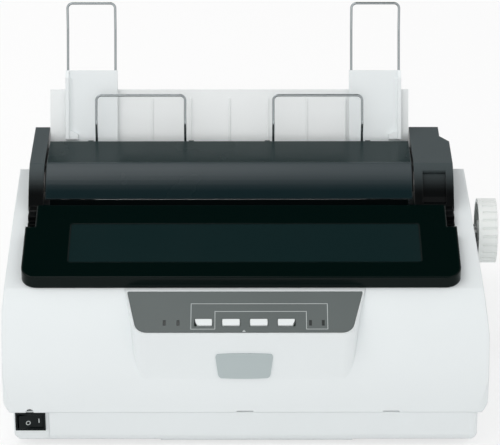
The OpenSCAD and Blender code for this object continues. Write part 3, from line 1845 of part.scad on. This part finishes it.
// Small wire stand on the rear edge of the exit cover
module stand_wire(side) {
  lean = 30;
  r = 2;
  foot = 7.4;
  color("#9A9EA0")
  translate([mech_x + side * stand_x, stand_y, stand_z])
    rotate([90, 0, 180]) {
      wire_frame(stand_w, stand_rise - 2, stand_len, lean);
      for (end = [-1, 1]) {
        wire_leg(end * stand_w / 2, r, stand_rise - 2);
        translate([end * (stand_w / 2 + r), r, 0])
          wire_bend(r, end < 0 ? 270 : 180, 90);
        translate([end < 0 ? -stand_w / 2 - foot : stand_w / 2 + r, 0, 0])
          rotate([0, 90, 0])
            cylinder(r = wire_r, h = foot - r);
      }
    }
}

module stand_wire_left() stand_wire(-1);
module stand_wire_right() stand_wire(1);

placed() lower_case();
placed() upper_case();
placed() screws();
placed() rubber_feet();
placed() operator_panel();
placed() indicator_lights();
placed() badge_plate();
placed() switch_body();
placed() power_inlet();
placed() data_connectors();
placed() main_board();
placed() power_board();
placed() panel_board();
placed() chassis();
placed() round_shafts();
placed() paper_pan();
placed() carriage_motor();
placed() feed_motor();
placed() platen_bushes();
placed() ribbon_cartridge();
placed() timing_belt();
placed() end_cover_left();
placed() end_cover_right();
placed() exit_cover();
placed() hinge_pins();
placed() tear_bar();
placed() front_cover();
placed() cover_window();
placed() platen_roller();
placed() platen_shaft();
placed() platen_knob();
placed() feed_idler();
placed() feed_pinion();
placed() tractor_shaft();
placed() tractor_left();
placed() tractor_right();
placed() pin_wheel_left();
placed() pin_wheel_right();
placed() tractor_door_left();
placed() tractor_door_right();
placed() carriage();
placed() print_head();
placed() drive_pulley();
placed() idler_pulley();
placed() head_gap_lever();
placed() release_lever();
placed() pinch_rollers();
placed() ribbon_knob();
placed() separator();
placed() edge_guide_left();
placed() edge_guide_right();
placed() tall_wire_left();
placed() tall_wire_right();
placed() stand_wire_left();
placed() stand_wire_right();
placed() button_1();
placed() button_2();
placed() button_3();
placed() button_4();
placed() switch_rocker();
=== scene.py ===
# %% [markdown]
# # A dot matrix printer
# The printer is made of sixty moulded and metal pieces that already stand in the CAD frame.
# This script gives each of them its finish, adds the fine pieces that a drawing for the
# workshop leaves out, and sets up the camera and the studio. The pieces could also be
# modelled again here, but then they would drift from the real sizes.

import json
import math

import bmesh
import bpy
from mathutils import Matrix, Vector


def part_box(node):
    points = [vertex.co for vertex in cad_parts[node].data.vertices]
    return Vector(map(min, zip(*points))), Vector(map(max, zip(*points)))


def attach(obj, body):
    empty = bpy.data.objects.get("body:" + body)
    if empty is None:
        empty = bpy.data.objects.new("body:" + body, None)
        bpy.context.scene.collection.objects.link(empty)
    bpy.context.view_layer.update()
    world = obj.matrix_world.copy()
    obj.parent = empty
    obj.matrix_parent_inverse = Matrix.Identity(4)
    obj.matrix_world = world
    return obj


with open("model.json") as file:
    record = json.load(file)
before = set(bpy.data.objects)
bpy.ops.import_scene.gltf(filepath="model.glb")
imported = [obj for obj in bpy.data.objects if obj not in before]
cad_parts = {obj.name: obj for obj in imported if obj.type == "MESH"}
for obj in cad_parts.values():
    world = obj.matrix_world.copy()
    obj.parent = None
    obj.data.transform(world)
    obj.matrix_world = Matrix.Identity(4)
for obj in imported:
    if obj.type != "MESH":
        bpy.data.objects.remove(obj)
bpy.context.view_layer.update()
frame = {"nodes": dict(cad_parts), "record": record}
nodes = frame["nodes"]

# %% [markdown]
# ## Camera
# The photograph is taken with a long lens from over the front, so the upright edges of the
# printer stay almost parallel. A camera can be aimed by a constraint, but turning it by a
# pitch and a yaw puts one known point of the machine on its own pixel. The aim is that point
# in millimetres, and AIM_OFF_CENTRE is how many pixels it lies left of the middle and below.

# %% Camera
MM = 0.001
IMAGE_WIDTH, IMAGE_HEIGHT = 500, 445
FOCAL_PIXELS = 2666
AIM = Vector((-6.2, -37.5, 80)) * MM
AIM_OFF_CENTRE = (5.0, 62.5)
DISTANCE = 2.0
ELEVATION = math.radians(28)

lens = bpy.data.cameras.new("camera")
lens.sensor_width = 36
lens.lens = FOCAL_PIXELS * lens.sensor_width / IMAGE_WIDTH
camera = bpy.data.objects.new("camera", lens)
bpy.context.collection.objects.link(camera)
pitch = math.atan(AIM_OFF_CENTRE[1] / FOCAL_PIXELS)
yaw = math.atan(AIM_OFF_CENTRE[0] / FOCAL_PIXELS)
camera.rotation_euler = (math.pi / 2 - ELEVATION + pitch, 0, -yaw)
camera.location = AIM + DISTANCE * Vector((0, -math.cos(ELEVATION), math.sin(ELEVATION)))
bpy.context.scene.camera = camera
print("lens", round(lens.lens, 1), "mm at", [round(c, 3) for c in camera.location])

# %% [markdown]
# ## Colours and nodes
# A colour picked on a screen is in sRGB, and the shader counts in linear light, so every
# colour goes through one function. A material here is a small tree of nodes. Each node could
# be placed by hand in the editor. One short function that adds any kind of node keeps the
# recipes below easy to read.

# %% Helpers for materials
def linear(code, share=1.0):
    """A share of an sRGB colour such as "#E7ECED", as linear red, green, blue and alpha."""
    parts = [int(code[i:i + 2], 16) / 255 for i in (1, 3, 5)]
    parts = [c / 12.92 if c <= 0.04045 else ((c + 0.055) / 1.055) ** 2.4 for c in parts]
    return [c * share for c in parts] + [1.0]


def add(tree, kind, links=(), **values):
    """Adds a node, sets its settings or unlinked sockets, and links the named sockets."""
    made = tree.nodes.new(kind)
    for name, value in values.items():
        if hasattr(made, name):
            setattr(made, name, value)
        else:
            made.inputs[name.replace("_", " ")].default_value = value
    for socket, source in dict(links).items():
        tree.links.new(source, made.inputs[socket])
    return made


def blank(name):
    """A new material with an empty tree, and its object coordinates."""
    finish = bpy.data.materials.new(name)
    finish.use_nodes = True
    finish.node_tree.nodes.clear()
    place = add(finish.node_tree, "ShaderNodeTexCoord").outputs["Object"]
    return finish, finish.node_tree, place


print("half of full light is", round(linear("#BCBCBC")[0], 2), "for the shader")

# %% [markdown]
# ## Moulded plastic
# The case is ABS, injected into a steel mould whose walls are spark eroded, which leaves a
# fine matt grain. The gloss of a part is set by that grain. It could be a picture of noise,
# but a noise texture in millimetres has no seams. The real grain of about 0.1 mm is too fine
# for this picture, so it is drawn at about 0.6 mm. Every mould edge has a small radius, which
# the Bevel node shows as a soft line of light without any new faces.

# %% Moulded plastic
PLASTIC_IOR = 1.5
CLOUDS_PER_METRE = 14
UNEVEN_GLOSS = 0.04


def moulded(name, code, rough=0.5, grain=0.6, depth=0.012, cloud=0.03, edge=0.6,
            specular=0.5, shade=None):
    """A plastic with its grain and bump in mm, a cloudy tone and rounded mould edges.

    shade lists painted light and shade: an axis with two places in mm and two colours, and the
    tone is multiplied by what lies between them, so painted light and shade run along that axis.
    """
    finish, tree, place = blank(name)
    fine = add(tree, "ShaderNodeTexNoise", {"Vector": place}, Scale=1 / (grain * MM), Detail=3)
    wide = add(tree, "ShaderNodeTexNoise", {"Vector": place}, Scale=CLOUDS_PER_METRE, Detail=4)
    tone = add(tree, "ShaderNodeMixRGB", {"Fac": wide.outputs["Fac"]},
               Color1=linear(code), Color2=linear(code, 1 - cloud))
    # painted light and shade: each run multiplies the tone by colours that change along one axis
    for axis, low, high, low_code, high_code in shade or ():
        along = add(tree, "ShaderNodeSeparateXYZ", {"Vector": place}).outputs[axis]
        step = add(tree, "ShaderNodeMapRange", {"Value": along}, interpolation_type="SMOOTHSTEP",
                   From_Min=low * MM, From_Max=high * MM)
        run = add(tree, "ShaderNodeMixRGB", {"Fac": step.outputs[0]},
                  Color1=linear(low_code), Color2=linear(high_code))
        tone = add(tree, "ShaderNodeMixRGB", {"Color1": tone.outputs[0], "Color2": run.outputs[0]},
                   blend_type="MULTIPLY", Fac=1.0)
    worn = add(tree, "ShaderNodeMapRange", {"Value": wide.outputs["Fac"]},
               From_Min=0.3, From_Max=0.7,
               To_Min=rough - UNEVEN_GLOSS, To_Max=rough + UNEVEN_GLOSS)
    rounded = add(tree, "ShaderNodeBevel", samples=6, Radius=edge * MM)
    bump = add(tree, "ShaderNodeBump",
               {"Height": fine.outputs["Fac"], "Normal": rounded.outputs[0]},
               Strength=1.0, Distance=depth * MM)
    shader = add(tree, "ShaderNodeBsdfPrincipled",
                 {"Base Color": tone.outputs[0], "Roughness": worn.outputs[0],
                  "Normal": bump.outputs[0]},
                 IOR=PLASTIC_IOR, Specular_IOR_Level=specular)
    add(tree, "ShaderNodeOutputMaterial", {"Surface": shader.outputs[0]})
    return finish


# Painted light and shade on the smoked covers, standing in for the light that shines through
# them from behind: the sloping face of the exit cover is painted paler under its crease, darker
# towards the slot and darker again behind the crease, and the end covers are painted paler at
# the top and darker towards the bottom.
EXIT_PAINTED_LIGHT = [("Z", 135, 151, "#4C7C82", "#FFFFFF"), ("Y", 26, 32, "#FFFFFF", "#307C7C")]
END_PAINTED_LIGHT = [("Z", 134, 153, "#101C1E", "#FFFFFF")]
FINISH = {
    # ABS of the case, pale and cool: no clear reflection, and soft light along wide edges
    "case_white": moulded("spark_eroded_ABS_white", "#E9EEEF", 0.55, edge=1.6),
    # a hand has to feel these as smooth, so their light is a little clearer
    "knob_white": moulded("smooth_ABS_white", "#EDF0EE", 0.42, grain=1.2, edge=0.4),
    "button_white": moulded("button_ABS_white", "#E8EDED", 0.4, grain=1.2, edge=0.35),
    # the rack and its guides are thinner mouldings, with sharper edges than the case
    "separator_white": moulded("separator_ABS_white", "#F4F7F7", 0.5, edge=0.5),
    "guide_white": moulded("guide_ABS_white", "#EEF3F4", 0.5, edge=0.7),
    # smoked polystyrene: nearly black with a green cast, satin at the ends, glossy in front; the
    # end and exit covers carry painted light and shade in their tone
    "cover_dark": moulded("satin_smoked_polystyrene_painted_light", "#485153", 0.34, depth=0.006, cloud=0.1,
                          edge=1.2, specular=0.12, shade=END_PAINTED_LIGHT),
    "exit_cover": moulded("smoked_polystyrene_exit_painted_light", "#454D50", 0.26, depth=0.004, cloud=0.1,
                          edge=1.0, specular=0.18, shade=EXIT_PAINTED_LIGHT),
    "front_cover": moulded("polished_smoked_polystyrene", "#02100E", 0.14, depth=0.003,
                           cloud=0.2, edge=1.8, specular=0.12),
    # the window is polished, and a step paler and bluer than the cover round it
    "window_dark": moulded("polished_smoked_acrylic", "#102425", 0.16, depth=0.001, cloud=0.1,
                           edge=0.3),
    # nylon of the switch, the inlet and the cartridge: black with a dull shine
    "black_plastic": moulded("matt_black_nylon", "#071011", 0.36, edge=0.3, specular=0.18),
    # glass fibre makes the nylon of the tractors grey and dry
    "tractor_grey": moulded("glass_filled_nylon", "#26292C", 0.5, edge=0.3),
    # acetal of gears, lids and bushes is left in its own colour and looks a little waxy
    "tractor_cream": moulded("natural_acetal", "#D9D4C4", 0.35, edge=0.3),
    "bush_plastic": moulded("cream_acetal", "#DDD9CC", 0.35, edge=0.2),
    # blue tells a hand which levers it may move
    "lever_blue": moulded("blue_acetal", "#2F62A3", 0.38, edge=0.4),
    # the foil of the badge has a fine silver grain
    "badge": moulded("satin_silver_foil", "#B2BDBE", 0.34, grain=0.4, edge=0.3),
    # the lamps are off, and their lenses are dark slits
    "lamp_clear": moulded("smoked_lamp_lens", "#1F2524", 0.25, edge=0.2),
    # the panel's film is embossed, so its grey looks a little mottled
    "panel_grey": moulded("printed_polyester_film", "#5B6362", 0.45, grain=0.5, depth=0.03,
                          cloud=0.12, edge=0.2),
    # rubbers: almost no shine, from the belt to the dustier feet and the ground platen
    "belt_rubber": moulded("black_neoprene", "#1B1C1E", 0.7, edge=0.2),
    "rubber_feet": moulded("black_rubber_feet", "#1E1F20", 0.8, edge=0.6),
    "platen_rubber": moulded("ground_platen_rubber", "#1D1F21", 0.62, grain=0.3, edge=0.3),
    # screen ink of the panel and the switch: flat white, not quite opaque
    "screen_white": moulded("screen_printed_white", "#C9CFCF", 0.5, grain=0.3, edge=0.1),
}
print(len(FINISH), "plastics and rubbers")

# %% [markdown]
# ## Metals, boards and wire
# Zinc sheet, ground shafts and turned brass each keep the marks of how they were made. The
# marks could be modelled, but they are finer than a pixel, so a stretched noise draws them
# in the gloss. All are metallic at 1 with their own colour and the default IOR. A circuit
# board is glass cloth or paper under a coat of lacquer, with copper tracks that show through
# as paler lines, and the cells of a Voronoi texture stand for them.

# %% Metals and boards
TOOL_MARKS = 0.07
DULL_SHARE = 0.86
TRACK_EDGE = 0.62


def metal(name, code, rough, grain=(0.3, 0.3, 0.3), depth=0.004):
    """A metal whose grain has its own length in mm along each axis."""
    finish, tree, place = blank(name)
    size = add(tree, "ShaderNodeMapping", {"Vector": place}, Scale=[1 / (g * MM) for g in grain])
    grit = add(tree, "ShaderNodeTexNoise", {"Vector": size.outputs[0]}, Scale=1, Detail=3)
    dull = add(tree, "ShaderNodeMapRange", {"Value": grit.outputs["Fac"]},
               From_Min=0.3, From_Max=0.7, To_Min=rough - TOOL_MARKS, To_Max=rough + TOOL_MARKS)
    tone = add(tree, "ShaderNodeMixRGB", {"Fac": grit.outputs["Fac"]},
               Color1=linear(code), Color2=linear(code, DULL_SHARE))
    rounded = add(tree, "ShaderNodeBevel", samples=4, Radius=0.2 * MM)
    bump = add(tree, "ShaderNodeBump",
               {"Height": grit.outputs["Fac"], "Normal": rounded.outputs[0]},
               Strength=1.0, Distance=depth * MM)
    shader = add(tree, "ShaderNodeBsdfPrincipled",
                 {"Base Color": tone.outputs[0], "Roughness": dull.outputs[0],
                  "Normal": bump.outputs[0]}, Metallic=1.0)
    add(tree, "ShaderNodeOutputMaterial", {"Surface": shader.outputs[0]})
    return finish


def circuit_board(name, code, track_code, pitch):
    """Lacquered board with copper tracks pitch mm apart under the lacquer."""
    finish, tree, place = blank(name)
    cells = add(tree, "ShaderNodeTexVoronoi", {"Vector": place}, distance="MANHATTAN",
                feature="F1", Scale=1 / (pitch * MM))
    track = add(tree, "ShaderNodeMath", {0: cells.outputs["Distance"]}, operation="GREATER_THAN")
    track.inputs[1].default_value = TRACK_EDGE
    tone = add(tree, "ShaderNodeMixRGB", {"Fac": track.outputs[0]},
               Color1=linear(code), Color2=linear(track_code))
    bump = add(tree, "ShaderNodeBump", {"Height": track.outputs[0]}, Strength=0.6,
               Distance=0.03 * MM)
    shader = add(tree, "ShaderNodeBsdfPrincipled",
                 {"Base Color": tone.outputs[0], "Normal": bump.outputs[0]},
                 Roughness=0.32, IOR=PLASTIC_IOR)
    add(tree, "ShaderNodeOutputMaterial", {"Surface": shader.outputs[0]})
    return finish


FINISH.update({
    # the zinc on the chassis has crystals a few millimetres wide
    "zinc_sheet": metal("zinc_plated_sheet", "#B9BDBD", 0.42, (3, 3, 3), 0.01),
    # shafts are ground round, so their fine rings stretch the light along them
    "shaft_steel": metal("ground_steel", "#C6C8C8", 0.22, (0.2, 6, 6)),
    # the pan was rolled, and its streaks run across the paper
    "pan_steel": metal("cold_rolled_steel", "#A9ADAE", 0.35, (8, 0.4, 0.4)),
    # the can of a motor is darker than bare steel and has no grain that shows
    "motor_steel": metal("blackened_steel_can", "#6A6C6E", 0.45, (1, 1, 1)),
    "steel_screws": metal("zinc_plated_screws", "#A7AAAB", 0.35),
    "connector_metal": metal("tin_plated_shell", "#B4B7B8", 0.3, (1, 1, 1)),
    # gears and pulleys are bright and warm, with rings from the lathe
    "brass": metal("turned_brass", "#C9A65C", 0.28, (0.2, 4, 4)),
    # a casting is rough, grey and grainy
    "head_alloy": metal("cast_aluminium", "#7C8084", 0.5, (0.5, 0.5, 0.5), 0.02),
    # bright wire shows as a thin line, pale or dark by what it mirrors
    "wire_black": metal("nickel_plated_wire", "#A4AAAC", 0.22, (0.4, 0.4, 0.4)),
    # the tractor shaft is blackened steel, and its near black is also painted shade, so the slot
    # under the exit cover stays dark
    "tractor_shaft": metal("blackened_steel_shaft_painted_shade", "#141618", 0.5, (0.2, 6, 6)),
    # lacquer makes boards shiny over their green or brown
    "board_green": circuit_board("green_lacquered_board", "#1E5A38", "#3B7A50", 2.5),
    "board_brown": circuit_board("brown_paper_board", "#8A6234", "#A67C48", 4.0),
})
print(len(FINISH), "finishes in all")

# %% [markdown]
# ## Giving each node its finish
# The record of the part names a material slot for every node, so the finishes can be handed
# out by that list. They could be set one by one, but a list can't forget a piece. A node
# with a finish under its own name, such as the front cover, takes that one.

# %% Assign the finishes
slot_of = {row["node"]: row["material_slot"] for row in frame["record"]["subparts"]}
for name, piece in nodes.items():
    for slot in piece.material_slots:
        slot.material = FINISH.get(name) or FINISH[slot_of[name]]
print(len(nodes), "nodes have a finish")

# %% [markdown]
# ## Marks printed on the panel and the switch
# Screen printing leaves ink a few hundredths of a millimetre thick on the panel and on the
# rocker. It could be a texture, but a piece of its own stays sharp. Every mark starts as one
# flat face. A line is what is left when that face is inset by the width of the line and
# loses its middle. The mark is then given its thickness and put in place.

# %% Helper for printed marks
INK = 0.04 * MM


def print_mark(name, bm, body, place):
    """Gives flat faces the thickness of ink, puts them in place and makes a piece of them."""
    grown = bmesh.ops.extrude_face_region(bm, geom=bm.faces[:] + bm.edges[:] + bm.verts[:])
    top = [part for part in grown["geom"] if isinstance(part, bmesh.types.BMVert)]
    bmesh.ops.translate(bm, verts=top, vec=(0, 0, INK))
    bmesh.ops.recalc_face_normals(bm, faces=bm.faces)
    bmesh.ops.transform(bm, matrix=place, verts=bm.verts)
    mesh = bpy.data.meshes.new(name)
    bm.to_mesh(mesh)
    bm.free()
    mesh.materials.append(FINISH["screen_white"])
    piece = bpy.data.objects.new(name, mesh)
    bpy.context.collection.objects.link(piece)
    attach(piece, body)


def flat_face(bm, corners):
    """One face through corners in millimetres, as no operator keeps a notched outline."""
    face = bm.faces.new([bm.verts.new((x * MM, y * MM, 0)) for x, y in corners])
    face.normal_update()
    return face


def hollow(bm, face, width):
    """Leaves only a rim of a face, width mm wide."""
    bmesh.ops.inset_region(bm, faces=[face], thickness=width * MM, use_boundary=True,
                           use_even_offset=True)
    bmesh.ops.delete(bm, geom=[face], context="FACES")


print("ink is", round(INK / MM, 2), "mm thick")

# %% [markdown]
# ## Frame of lines round the buttons
# The panel is a polyester film with a grey ground, and a thin pale line frames the buttons
# and the two lamps at the right. Its corners could be measured from the buttons. Here they
# are in millimetres on the tilted panel, from the middle of its front edge, and the line
# lies on the highest point of the film.

# %% Frame of lines round the buttons
PANEL_FRONT = Vector((-6.2, -130.5, 89.8)) * MM
PANEL_TILT = math.radians(23)
FRAME_LINE = 0.4
FRAME_CORNERS = [(-39.6, 3.9), (-21.9, 3.9), (-21.9, 20.1), (43.6, 20.1),
                 (43.6, 3.9), (59.3, 3.9), (59.3, 27.6), (-39.6, 27.6)]
panel = Matrix.Translation(PANEL_FRONT) @ Matrix.Rotation(PANEL_TILT, 4, "X")
film = nodes["operator_panel"].data.vertices
film_top = max((panel.inverted() @ corner.co).z for corner in film)
on_film = panel @ Matrix.Translation((0, 0, film_top))
bm = bmesh.new()
hollow(bm, flat_face(bm, FRAME_CORNERS), FRAME_LINE)
print_mark("button_frame_line", bm, "case", on_film)
print("film is", round(film_top / MM, 2), "mm above the panel's seat")

# %% [markdown]
# ## Marks on the switch
# The rocker carries the usual ring and bar, printed in white. Each could be placed by hand,
# but a ray from the camera finds the very spot and slope of the rocker under it.

# %% Marks on the rocker
def seat(node, pixel):
    """Where a pixel of the picture meets a node, as a matrix that stands on its surface."""
    across = (pixel[0] - IMAGE_WIDTH / 2) / FOCAL_PIXELS
    up = (IMAGE_HEIGHT / 2 - pixel[1]) / FOCAL_PIXELS
    way = camera.rotation_euler.to_matrix() @ Vector((across, up, -1))
    hit, spot, normal, _ = nodes[node].ray_cast(camera.location, way.normalized())
    upward = (Vector((0, 0, 1)) - normal * normal.z).normalized()
    frame_of = Matrix((upward.cross(normal), upward, normal)).transposed().to_4x4()
    print(node, "is met at", [round(c / MM, 1) for c in spot], hit)
    return Matrix.Translation(spot) @ frame_of


RING_PIXEL, RING_RADIUS, RING_LINE = (28.3, 423.0), 1.75, 0.55
BAR_PIXEL, BAR_SIZE, BAR_CORNER = (39.0, 420.7), (0.6, 3.6), 0.2
bm = bmesh.new()
bmesh.ops.create_circle(bm, cap_ends=True, segments=40, radius=RING_RADIUS * MM)
hollow(bm, bm.faces[:][0], RING_LINE)
print_mark("rocker_off_ring", bm, "rocker", seat("switch_rocker", RING_PIXEL))
bm = bmesh.new()
bmesh.ops.create_grid(bm, x_segments=1, y_segments=1, size=0.5 * MM)
bmesh.ops.scale(bm, vec=(*BAR_SIZE, 1), verts=bm.verts)
bmesh.ops.bevel(bm, geom=bm.verts, offset=BAR_CORNER * MM, affect="VERTICES", segments=3,
                profile=0.5, material=-1)
print_mark("rocker_on_bar", bm, "rocker", seat("switch_rocker", BAR_PIXEL))

# %% [markdown]
# ## Index mark under the buttons
# A small white arrowhead stands near the middle of the panel's front edge. It could be drawn
# corner by corner, but a circle of three segments is a triangle already, and only has to be
# pressed a little flatter.

# %% Index mark
INDEX_PIXEL, INDEX_RADIUS, INDEX_PRESS = (244, 331.2), 1.5, 0.75
bm = bmesh.new()
bmesh.ops.create_circle(bm, cap_ends=True, segments=3, radius=INDEX_RADIUS * MM)
bmesh.ops.scale(bm, vec=(1, INDEX_PRESS, 1), verts=bm.verts)
print_mark("panel_index_mark", bm, "case", seat("operator_panel", INDEX_PIXEL))

# %% [markdown]
# ## Dust lips of the exit cover
# Thin black lips under the exit cover close the slot over the platen and the joints to the
# end covers, so no light from the bay shows through. The side lips start as grids whose points
# drop onto the cover by a ray, the front lip as a flat upright grid, and each is then given its
# thickness. The side lips could follow a copied formula of the cover's curve, but the ray can't
# miss the real one.

# %% Dust lips
LIP = 0.6 * MM
SKIN_AND_PLAY = 3.1 * MM
SIDE_LIP_WIDTH, SIDE_LIP_INSET = 2.6, 0.1
SIDE_LIP_FRONT, SIDE_LIP_LENGTH, SIDE_LIP_STEPS = 10 * MM, 52 * MM, 24
RAY_INSET = 3 * MM
FRONT_LIP_PLACE, FRONT_LIP_HEIGHT, FRONT_LIP_SHORTER = (7.6 * MM, 126.2 * MM), 6.4 * MM, 6 * MM
cover_low, cover_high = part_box("exit_cover")


def finish_lip(name, bm):
    """Gives a lip its thickness and its finish, and lets it ride on the case."""
    bmesh.ops.recalc_face_normals(bm, faces=bm.faces)
    bmesh.ops.solidify(bm, geom=bm.faces[:], thickness=LIP)
    mesh = bpy.data.meshes.new(name)
    bm.to_mesh(mesh)
    bm.free()
    mesh.materials.append(FINISH["black_plastic"])
    lip = bpy.data.objects.new(name, mesh)
    bpy.context.collection.objects.link(lip)
    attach(lip, "case")


def under_cover(x, y):
    """A point just under the exit cover's skin."""
    above = Vector((x, y, cover_high[2] + LIP))
    _, spot, _, _ = nodes["exit_cover"].ray_cast(above, (0, 0, -1))
    return spot.z - SKIN_AND_PLAY


for name, edge_x, inward in (("dust_lip_left", cover_low[0], 1),
                             ("dust_lip_right", cover_high[0], -1)):
    bm = bmesh.new()
    bmesh.ops.create_grid(bm, x_segments=1, y_segments=SIDE_LIP_STEPS, size=0.5)
    for point in bm.verts:
        y = SIDE_LIP_FRONT + (point.co.y + 0.5) * SIDE_LIP_LENGTH
        x = edge_x + inward * (SIDE_LIP_WIDTH * point.co.x + SIDE_LIP_INSET) * MM
        point.co = (x, y, under_cover(edge_x + inward * RAY_INSET, y))
    finish_lip(name, bm)

bm = bmesh.new()
bmesh.ops.create_grid(bm, x_segments=1, y_segments=1, size=0.5)
bmesh.ops.rotate(bm, verts=bm.verts, matrix=Matrix.Rotation(math.pi / 2, 3, "X"))
front_length = cover_high[0] - cover_low[0] - FRONT_LIP_SHORTER
bmesh.ops.scale(bm, verts=bm.verts, vec=(front_length, 1, FRONT_LIP_HEIGHT))
bmesh.ops.translate(bm, verts=bm.verts,
                    vec=((cover_low[0] + cover_high[0]) / 2, *FRONT_LIP_PLACE))
finish_lip("dust_lip_front", bm)
print("exit cover spans", [round(c / MM, 1) for c in (*cover_low, *cover_high)])

# %% [markdown]
# ## Table
# The printer stands on a white table. The table could be lit until it is white, but then the
# pale case would burn out with it. Here it is plain white to the camera, and most of what
# the camera sees is its own even light, so that the shadow stays faint. To the rays that
# light the printer it is a little greyer, so that it doesn't flood the printer.

# %% Table
TABLE_REACH = 4
TABLE_GREY, TABLE_GLOW = 0.84, 0.62
bm = bmesh.new()
bmesh.ops.create_grid(bm, x_segments=1, y_segments=1, size=TABLE_REACH)
table_mesh = bpy.data.meshes.new("table_top")
bm.to_mesh(table_mesh)
bm.free()
table_top = bpy.data.objects.new("table_top", table_mesh)
bpy.context.collection.objects.link(table_top)
paper, tree, _ = blank("white_paper")
path = add(tree, "ShaderNodeLightPath").outputs
seen = path["Is Camera Ray"]
for ray in ("Is Glossy Ray", "Is Transmission Ray"):
    seen = add(tree, "ShaderNodeMath", {0: seen, 1: path[ray]}, operation="MAXIMUM").outputs[0]
tone = add(tree, "ShaderNodeMixRGB", {"Fac": seen},
           Color1=(TABLE_GREY, TABLE_GREY, TABLE_GREY, 1), Color2=(1, 1, 1, 1))
matt = add(tree, "ShaderNodeBsdfDiffuse", {"Color": tone.outputs[0]})
bare = add(tree, "ShaderNodeEmission", Color=(1, 1, 1, 1), Strength=1.0)
share = add(tree, "ShaderNodeMath", {0: seen}, operation="MULTIPLY")
share.inputs[1].default_value = TABLE_GLOW
both = add(tree, "ShaderNodeMixShader", {0: share.outputs[0], 1: matt.outputs[0],
                                         2: bare.outputs[0]})
add(tree, "ShaderNodeOutputMaterial", {"Surface": both.outputs[0]})
table_mesh.materials.append(paper)
print("table is", 2 * TABLE_REACH, "m wide")

# %% [markdown]
# ## Lamps
# One large soft lamp hangs over the printer, to the left, as the photograph's left shoulder
# is the brighter one. A weaker one stands low in front. Two small lamps would do for the
# brightness, but they would draw hard shadows under the covers.

# %% Lamps
LAMP_SIZE = 1.2
LAMPS = {"softbox": (8.0, (-0.6, 0.1, 1.9)), "front_fill": (3.6, (-0.3, -1.7, 0.45))}
for name, (watts, place) in LAMPS.items():
    light = bpy.data.lights.new(name, "AREA")
    light.shape = "SQUARE"
    light.size = LAMP_SIZE
    light.energy = watts
    lamp = bpy.data.objects.new(name, light)
    lamp.location = place
    lamp.rotation_euler = lamp.location.to_track_quat("Z", "Y").to_euler()
    bpy.context.collection.objects.link(lamp)
print(len(LAMPS), "lamps")

# %% [markdown]
# ## Sky with dark curtains
# The rest of the light comes from a pale tent all round, which is the world here. A polished
# dark cover shows what stands where it mirrors, so dark curtains hang before and behind the
# lamp, in a strip of sky that runs from the front over the top to the back. They could be
# black boards, but a colour ramp along the sky's depth axis is softer. The strip is narrow,
# so it takes next to no light away from the printer.

# %% Sky with dark curtains
SKY = 0.95
STRIP_EDGE = (0.16, 0.34)
STRIP_FOOT = (0.25, 0.4)
CURTAINS = [(0.0, 1.0), (0.08, 0.9), (0.14, 0.1), (0.34, 0.06), (0.46, 1.0), (0.56, 1.0),
            (0.66, 0.1), (0.78, 0.02), (0.9, 0.02), (0.95, 0.08), (1.0, 0.6)]
sky = bpy.data.worlds.new("light_tent")
bpy.context.scene.world = sky
sky.use_nodes = True
tree = sky.node_tree
tree.nodes.clear()
way = add(tree, "ShaderNodeTexCoord").outputs["Generated"]
axes = add(tree, "ShaderNodeSeparateXYZ", {"Vector": way}).outputs
depth = add(tree, "ShaderNodeMapRange", {"Value": axes["Y"]}, From_Min=-1, From_Max=1)
ramp = add(tree, "ShaderNodeValToRGB", {"Fac": depth.outputs[0]})
stops = ramp.color_ramp.elements
for _ in CURTAINS[2:]:
    stops.new(1.0)
for stop, (where, level) in zip(stops, CURTAINS):
    stop.position = where
    stop.color = (level, level, level, 1)
side = add(tree, "ShaderNodeMath", {0: axes["X"]}, operation="ABSOLUTE")
edge = add(tree, "ShaderNodeMapRange", {"Value": side.outputs[0]},
           From_Min=STRIP_EDGE[0], From_Max=STRIP_EDGE[1])
above = add(tree, "ShaderNodeMapRange", {"Value": axes["Z"]},
            From_Min=STRIP_FOOT[0], From_Max=STRIP_FOOT[1], To_Min=1, To_Max=0)
open_sky = add(tree, "ShaderNodeMath", {0: edge.outputs[0], 1: above.outputs[0]},
               operation="MAXIMUM")
tent = add(tree, "ShaderNodeMixRGB",
           {"Fac": open_sky.outputs[0], "Color1": ramp.outputs[0]}, Color2=(1, 1, 1, 1))
glow = add(tree, "ShaderNodeBackground", {"Color": tent.outputs[0]}, Strength=SKY)
add(tree, "ShaderNodeOutputWorld", {"Surface": glow.outputs[0]})
bpy.context.scene.view_settings.view_transform = "Standard"
print(len(CURTAINS), "stops in the curtains")
